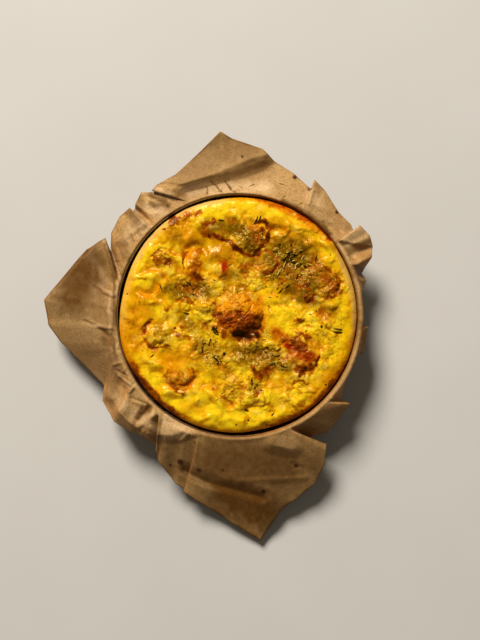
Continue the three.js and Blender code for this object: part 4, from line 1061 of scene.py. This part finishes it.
def custard_height(x, y):
    """The custard's top with the folds, curds and baked grooves of its skin, and the curds alone."""
    z, inward = custard_form(x, y)
    p = flat_points(x, y)
    warped = shifted(p, 1.7, 9, seed=1)
    crumbly = np.minimum(1, painted(x, y, CRUMBLY, 20))
    calm = 0.3 + 0.7 * inward
    quiet = 0.3 + 0.7 * smooth((95 - np.hypot(x, y)) / 18)
    lively = 0.45 + 0.9 * smooth(0.5 + 1.1 * noise(p, 19, 17)) * (1 - crumbly) + 0.35 * crumbly
    lively *= 1 - 0.75 * np.minimum(1, painted(x, y, STILL, 21))
    z += calm * 1.8 * quiet * lobes(warped, LUMP, 5, 5)
    folds = line_relief(warped[:, 0], warped[:, 1], FOLDS, smooth)
    z += 1.3 * folds * (0.8 + 0.4 * noise(p, 6, 18))
    curd = 1.15 * lobes(warped, CURD, 8, 5) * lively * quiet
    curd += 0.6 * lobes(warped, CRUMB, 11) * (0.42 * lively + crumbly)
    curd += 0.45 * lobes(p, GRAIN, 14, 10) * crumbly
    z += calm * curd
    outlines = [stroke for stroke in BROWN if stroke[0] < WIDEST_GROOVE]
    z -= 0.22 * painted(x, y, outlines, BROWN_SEED)
    return z, curd


def rim_patch(angle, name):
    """0 to 1 round the rim: near any of the patch's directions."""
    half, *directions = RIM_PATCHES[name]
    return np.max([smooth(1.25 - turn_from(angle, at) / half) for at in directions], axis=0)


def food_values(x, y, curd):
    """The food's colour patches, with painted light on lump tops and painted shade in hollows; curd is the
    height of the fine lumps in millimetres.
    """
    r, angle = np.hypot(x, y), np.arctan2(y, x)
    p = flat_points(x, y)
    edge = smooth((r - 91 - 1.5 * noise(p, 10, 30)) / 4)
    slope = smooth((r - 91.2 - 1.8 * noise(p, 7, 30)) / 4.5) * (0.85 + 0.35 * noise(p, 4, 33))
    crust = smooth((r - food_edge(angle) + 4.6 + 1.1 * noise(p, 6, 39)) / 1.6)
    # On the south side the edge is browned, with painted shade where it falls away from the lamp.
    baked_and_shaded, browned_and_shaded = slope * rim_patch(angle, "baked_and_shaded"), slope * rim_patch(angle, "browned_and_shaded")
    # Painted light and shade on the curds: their tops turn lemon and cream, their hollows orange, olive and
    # brown.
    low, high = smooth(-curd / 0.5), smooth(curd / 0.45)
    lemon = np.minimum(1, painted(x, y, LEMON, 35))
    olive = np.maximum(painted(x, y, OLIVE, 32), 0.25 * low * (1 - 0.6 * lemon))
    not_olive = 1 - np.minimum(1, olive)
    brown = [painted(x, y, BROWN, BROWN_SEED, 0.5), baked_and_shaded, 0.7 * browned_and_shaded]
    orange = [painted(x, y, ORANGE, 34), 0.6 * low, baked_and_shaded, browned_and_shaded, edge * rim_patch(angle, "orange")]
    # Cream on the curds' tops is a painted highlight.
    pale = [painted(x, y, PALE_AND_GLINTS, 38, 0.5), 0.45 * smooth((curd - 0.35) / 0.4) * not_olive,
            0.5 * edge * rim_patch(angle, "pale_left"), 0.6 * edge * rim_patch(angle, "pale_right")]
    pastry = np.maximum(rim_patch(angle, "crust_left"), 0.7 * rim_patch(angle, "crust_right"))
    return {
        "brown": np.max(brown, axis=0) + 0.1 * low,
        "olive": olive,
        "orange": np.max(orange, axis=0),
        "lemon": np.maximum(lemon, 0.6 * high) * (0.5 + 0.5 * not_olive),
        "pale": np.max(pale, axis=0),
        "red": painted(x, y, RED, 36, 0.5),
        "crumb": np.minimum(1, painted(x, y, CRUMBLY, 20)),
        "crust": crust * pastry,
    }


def custard_disc():
    """Plan of the custard's top: rings of points, six more in each ring, and its triangles."""
    x, y, faces = [0.0], [0.0], []
    start = 0
    for k in range(1, CUSTARD_RINGS + 1):
        angle = np.arange(6 * k) * (2 * math.pi / (6 * k))
        r = food_edge(angle) * k / CUSTARD_RINGS
        x.extend(r * np.cos(angle))
        y.extend(r * np.sin(angle))
        inner_start, start = start, 1 + 3 * k * (k - 1)
        for side in range(6):
            i = np.arange(k)
            outer = start + side * k + i
            outer_next = start + (side * k + i + 1) % (6 * k)
            inner = 0 * i if k == 1 else inner_start + (side * (k - 1) + i) % (6 * (k - 1))
            faces.append(np.stack([inner, outer, outer_next], axis=1))
            if k > 1:
                inner_next = inner_start + (side * (k - 1) + i + 1) % (6 * (k - 1))
                faces.append(np.stack([inner, outer_next, inner_next], axis=1)[:-1])
    return np.array(x), np.array(y), np.concatenate(faces)


def custard():
    """The filling: its modelled top, its side and its flat underside, in one closed mesh."""
    x, y, faces = custard_disc()
    height, curd = custard_height(x, y)
    top = np.stack([x, y, height], axis=1)
    count = 6 * CUSTARD_RINGS
    angle = np.arange(count) * (2 * math.pi / count)
    rim, lip = food_edge(angle), top[-count:, 2]
    rings = [
        (rim + 0.3, lip - 0.5),
        (rim + 0.2, lip - 1.3),
        (CUSTARD_RADIUS - 0.3, lip - 1.6),
        (CUSTARD_RADIUS - 0.3, CUSTARD_FLOOR),
        (CENTRE_HOLE, CUSTARD_FLOOR),
    ]
    points = [top]
    i, after = np.arange(count), (np.arange(count) + 1) % count
    above = len(top) - count
    for r, z in rings:
        points.append(np.stack([r * np.cos(angle), r * np.sin(angle), z + 0 * angle], axis=1))
        below = above + count
        faces = np.concatenate([faces, np.stack([above + i, below + i, below + after], axis=1),
                                np.stack([above + i, below + after, above + after], axis=1)])
        above = below
    floor = np.stack([np.full(count - 2, above), above + i[2:], above + i[1:-1]], axis=1)
    points = np.concatenate(points)
    curd = np.concatenate([curd, np.zeros(len(points) - len(curd))])
    values = food_values(points[:, 0], points[:, 1], curd)
    piece = add_piece("custard_filling", points, np.concatenate([faces, floor]), MATERIALS["custard"],
                      values)
    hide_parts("custard")
    return piece


# ---------- the florets


def smooth_copy(node, levels):
    """Points, normals and faces of a CAD node's mesh, welded and subdivided smooth."""
    work = bmesh.new()
    work.from_mesh(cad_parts[node].data)
    bmesh.ops.remove_doubles(work, verts=work.verts, dist=1e-5)
    mesh = bpy.data.meshes.new(node + "_work")
    work.to_mesh(mesh)
    work.free()
    holder = bpy.data.objects.new(node + "_work", mesh)
    bpy.context.collection.objects.link(holder)
    finer = holder.modifiers.new("finer", "SUBSURF")
    finer.levels = levels
    bpy.context.view_layer.update()
    made = holder.evaluated_get(bpy.context.evaluated_depsgraph_get()).to_mesh()
    points = np.empty(len(made.vertices) * 3, np.float32)
    normals = np.empty(len(made.vertices) * 3, np.float32)
    made.vertices.foreach_get("co", points)
    made.vertices.foreach_get("normal", normals)
    faces = [list(poly.vertices) for poly in made.polygons]
    bpy.data.objects.remove(holder)
    bpy.data.meshes.remove(mesh)
    return points.reshape(-1, 3).astype(float) / MM, normals.reshape(-1, 3).astype(float), faces


def floret(node, grain, sunk, seed):
    """A floret's head of knobs within knobs, painted as the food round it, with painted shade darkest
    in its crevices.
    """
    head = HEADS["big" if node == "floret_centre" else "small"]
    points, normals, faces = smooth_copy(node, head["levels"])
    warped = shifted(points, 1.8, 5, seed, axes=3)
    knob = cells(warped, head["knob"], seed + 4)
    bud = cells(warped, head["bud"], seed + 7)
    tip = cells(points, TIP_SIZE, seed + 9)
    lift = head["knob_height"] * (0.5 - knob**2) + (0.45 - bud**2)
    lift += head["tip_height"] * (0.4 - tip**2)
    lift += head["swell"] * noise(points, 13, seed + 12)
    moved = points + normals * (grain * lift)[:, None]
    moved[:, 2] -= sunk
    # The buds' tops take the food's painted light and their hollows its painted shade.
    values = food_values(moved[:, 0], moved[:, 1], grain * 0.6 * (0.45 - bud**2))
    # Painted shade in the crevices between knobs, buds and tips.
    crevice_shade = smooth((knob - 0.35) / 0.5) * 0.5 + smooth((bud - 0.35) / 0.5) * 0.5
    crevice_shade += head["tip_shade"] * smooth((tip - 0.4) / 0.4)
    values["brown"] += crevice_shade * (0.15 + 0.3 * values["brown"]) - 0.1
    piece = add_piece(node + "_head", moved, faces, MATERIALS["floret"], values)
    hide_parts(node)
    return piece


# ---------- pastry and tin


def pastry_rows(angle):
    """Rows of the pastry case from its floor over its rim and down inside, each (radius, height)."""
    outside = np.minimum(food_edge(angle), CRUST_RADIUS + 0.6) - 0.4
    top = CRUST_TOP - 1.6 + 0.3 * (np.sin(5 * angle + 0.6) + 0.6 * np.sin(11 * angle))
    inside = CUSTARD_RADIUS + 0.1
    lip = outside - CRUST_LIP
    base = CRUST_FLOOR + PAPER_CORNER + 1
    rows = [(CENTRE_HOLE, CRUST_FLOOR), (outside - PAPER_CORNER - 1, CRUST_FLOOR),
            (outside - 1.2, CRUST_FLOOR + 1.6), (outside, base)]
    for share in np.linspace(0.15, 1, 14):
        rows.append((outside, base + (top - CRUST_LIP - base) * share))
    for turn in np.radians([20, 45, 70, 90]):
        rows.append((lip + CRUST_LIP * np.cos(turn), top - CRUST_LIP + CRUST_LIP * np.sin(turn)))
    for share in (0.3, 0.65, 1.0):
        rows.append((lip + (inside - lip) * share, top))
    return rows + [(inside, CUSTARD_FLOOR - 0.5), (CENTRE_HOLE, CUSTARD_FLOOR - 0.5)]


def pastry_case():
    """The thin pastry wall round the custard, with a rough baked rim."""
    angle = np.arange(CRUST_COLUMNS) * (2 * math.pi / CRUST_COLUMNS)
    rows = pastry_rows(angle)
    points = [[r * np.cos(angle), r * np.sin(angle), z + 0 * angle] for r, z in rows]
    flat = np.array(points).transpose(2, 0, 1).reshape(-1, 3)
    x, y, z = flat.T  # they follow every change of the points
    rough = (0.22 * noise(flat, 3.1, 80) + 0.12 * noise(flat, 1.2, 81)) * (z > 20) * (z < 43.6)
    inward = (flat / np.maximum(1, np.hypot(x, y))[:, None] * np.abs(rough)[:, None])[:, :2]
    flat[:, :2] -= inward
    flat[:, 2] += rough * (z > 40)
    turned = np.arctan2(y, x)
    # Browner on the south-west and south-east, partly painted shade where that side falls away from the lamp;
    # browner on the north-east edge and lower down.
    baked_and_shaded = smooth(1.2 - np.minimum(turn_from(turned, 222), turn_from(turned, 318)) / 34) * 0.7
    baked_and_shaded = np.maximum(baked_and_shaded, 0.8 * smooth(1.2 - turn_from(turned, 52) / 22))
    baked_and_shaded = np.clip(baked_and_shaded + 0.25 * noise(flat, 9, 82) + 0.4 * smooth((38 - z) / 20), 0, 1)
    piece = add_piece("pastry_shell", flat, grid_faces(CRUST_COLUMNS, len(rows)), MATERIALS["pastry"],
                      {"baked_and_shaded": baked_and_shaded})
    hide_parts("pastry_case")


def tin():
    """A straight-sided round tin with a rolled rim and a rounded foot."""
    outside, foot = BEAD_R - TIN_INSET, TIN_FOOT
    inside = outside - TIN_SHEET
    profile = [(CENTRE_HOLE, 0), (outside - foot, 0)]
    for turn in np.radians([-60, -30, 0]):
        profile.append((outside - foot + foot * math.cos(turn), foot + foot * math.sin(turn)))
    profile.append((outside, BEAD_Z - TIN_BEAD_RADIUS))
    for turn in np.radians(range(-100, 181, 20)):
        profile.append((BEAD_R + TIN_BEAD_RADIUS * math.cos(turn), BEAD_Z + TIN_BEAD_RADIUS * math.sin(turn)))
    profile += [(inside, BEAD_Z - TIN_BEAD_RADIUS), (inside, foot + TIN_SHEET), (inside - foot, TIN_SHEET),
                (CENTRE_HOLE, TIN_SHEET)]
    points, faces = lathe(profile, TIN_COLUMNS)
    piece = add_piece("baking_tin", points, faces, MATERIALS["tin"])
    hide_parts("tin")


# ---------- herbs and pepper


def surface_under(pieces):
    """Gives the height and slope of the highest of these pieces at a place seen from above."""
    trees = []
    for piece in pieces:
        mesh = piece.data
        trees.append(BVHTree.FromPolygons([v.co for v in mesh.vertices], [p.vertices for p in mesh.polygons]))

    def look(x, y):
        above, down = Vector((x * MM, y * MM, ABOVE_ALL)), Vector((0, 0, -1))
        hits = [tree.ray_cast(above, down) for tree in trees]
        hits = [hit for hit in hits if hit[0] is not None]
        if not hits:
            return None
        place, normal, _, _ = max(hits, key=lambda hit: hit[0].z)
        return np.array(place) / MM, np.array(normal) * (1 if normal.z > 0 else -1)

    return look


def leaf_points(length, width, bend, segments=7):
    """A narrow pointed leaf along X, folded a little along its midrib and bent sideways."""
    points, faces = [], []
    for k in range(segments + 1):
        share = k / segments
        half = 0.5 * width * math.sin(math.pi * (0.06 + 0.9 * share)) ** 0.8
        arch = 1 - (2 * share - 1) ** 2
        x, y, z = (share - 0.5) * length, bend * arch, LEAF_ARCH * length * arch
        points += [(x, y - half, z), (x, y, z + 0.35 * half), (x, y + half, z), (x, y, z - 0.3 * half - 0.08)]
    for k in range(segments):
        for j in range(4):
            a, b = 4 * k + j, 4 * k + (j + 1) % 4
            faces.append((a, b, b + 4, a + 4))
    faces += [(3, 2, 1, 0), tuple(4 * segments + j for j in range(4))]
    return np.array(points), faces


def pebble(radius):
    """A rough little lump."""
    work = bmesh.new()
    bmesh.ops.create_icosphere(work, subdivisions=2, radius=radius)
    points = np.array([v.co for v in work.verts]) * [1.1, 0.9, 0.7]
    faces = [tuple(v.index for v in face.verts) for face in work.faces]
    work.free()
    return points, faces


def scatter(name, places, look, shape, draw):
    """One mesh of many small shapes, each set on the surface at [x, y, size, turn, darkness]."""
    points, faces, values = [], [], []
    count = 0
    for x, y, size, turn, value in places:
        found = look(x, y)
        if found is None:
            continue
        place, normal = found
        own, own_faces = shape(size)
        across = np.array([math.cos(math.radians(turn)), math.sin(math.radians(turn)), 0])
        along = across - normal * (across @ normal)
        along /= np.linalg.norm(along)
        side = np.cross(normal, along)
        tilt = math.radians(draw.uniform(-LEAF_TILT, LEAF_TILT))
        along, normal = (along * math.cos(tilt) + normal * math.sin(tilt),
                         normal * math.cos(tilt) - along * math.sin(tilt))
        points.append(place + own @ np.stack([along, side, normal]) + normal * LEAF_LIFT)
        faces += [[count + i for i in face] for face in own_faces]
        values += [value] * len(own)
        count += len(own)
    return add_piece(name, np.concatenate(points), faces, MATERIALS["herb"], {"dark": values})


def around(draw, cx, cy, spread):
    """A drawn place in a round patch."""
    angle, away = draw.uniform(0, 2 * math.pi), spread * math.sqrt(draw.random())
    return [cx + away * math.cos(angle), cy + away * math.sin(angle)]


def herbs(look):
    """The dried leaves on the food: those placed one by one, then the scattered patches."""
    draw = random.Random(7)
    places = list(LEAVES)
    for cx, cy, spread, count in LEAF_PATCHES:
        for _ in range(count):
            place = around(draw, cx, cy, spread)
            dark = draw.choice([0.1, 0.5, 0.8, 0.9, 1.0, 1.0])
            places.append([*place, draw.uniform(1.0, 3.8), draw.uniform(0, 180), dark])

    def shape(size):
        return leaf_points(size, 0.62 + 0.08 * size, draw.uniform(-0.06, 0.06) * size)

    scatter("herb_leaves", places, look, shape, draw)


def pepper(look):
    """The dark grains on the food: the large ones, then fine ones everywhere."""
    draw = random.Random(9)
    places = [[x, y, radius, draw.uniform(0, 180), 1.0] for x, y, radius in SPECKS]
    for _ in range(PEPPER_GRAINS):
        place = around(draw, 0, 0, PEPPER_SPREAD)
        places.append([*place, draw.uniform(0.18, 0.42), draw.uniform(0, 180), draw.uniform(0.5, 1)])
    scatter("pepper", places, look, pebble, draw)


def fallen_leaves(look):
    """The few dried leaves on the paper."""
    draw = random.Random(5)
    places = [[x, y, length, turn, 0.35] for x, y, length, turn in PAPER_LEAVES]

    def shape(size):
        return leaf_points(size, 0.8, draw.uniform(-0.2, 0.2) * size)

    scatter("fallen_leaves", places, look, shape, draw)


# ---------- the stage


def stage():
    """A plain pale floor, a dim warm room, one broad soft lamp and the camera above."""
    bpy.ops.mesh.primitive_plane_add(size=FLOOR["size"], location=FLOOR["place"])
    floor = bpy.context.object
    floor.name = "floor"
    floor.data.materials.append(MATERIALS["floor"])

    world = bpy.data.worlds.new("studio")
    bpy.context.scene.world = world
    world.use_nodes = True
    background = world.node_tree.nodes["Background"].inputs
    background["Color"].default_value = ROOM_LIGHT["colour"]
    background["Strength"].default_value = ROOM_LIGHT["strength"]

    key = bpy.data.objects.new("key", bpy.data.lights.new("key", "AREA"))
    key.data.shape = "DISK"
    key.data.size = KEY_LIGHT["size"]
    key.data.energy = KEY_LIGHT["power"]
    key.data.color = KEY_LIGHT["colour"]
    key.location = KEY_LIGHT["place"]
    sight = Vector(KEY_LIGHT["aim"]) - key.location
    key.rotation_euler = sight.to_track_quat("-Z", "Y").to_euler()
    bpy.context.collection.objects.link(key)

    camera = bpy.data.objects.new("camera", bpy.data.cameras.new("camera"))
    camera.location = CAMERA["place"]
    camera.data.lens = CAMERA["lens"]
    bpy.context.collection.objects.link(camera)
    bpy.context.scene.camera = camera
    bpy.context.scene.view_settings.view_transform = "Standard"


stage()
paper = baking_paper()
tin()
pastry_case()
food = [custard()]
for number, (node, (grain, _, sunk)) in enumerate(FLORETS.items()):
    food.append(floret(node, grain, sunk, 200 + 20 * number))
on_food = surface_under(food)
herbs(on_food)
pepper(on_food)
fallen_leaves(surface_under([paper]))
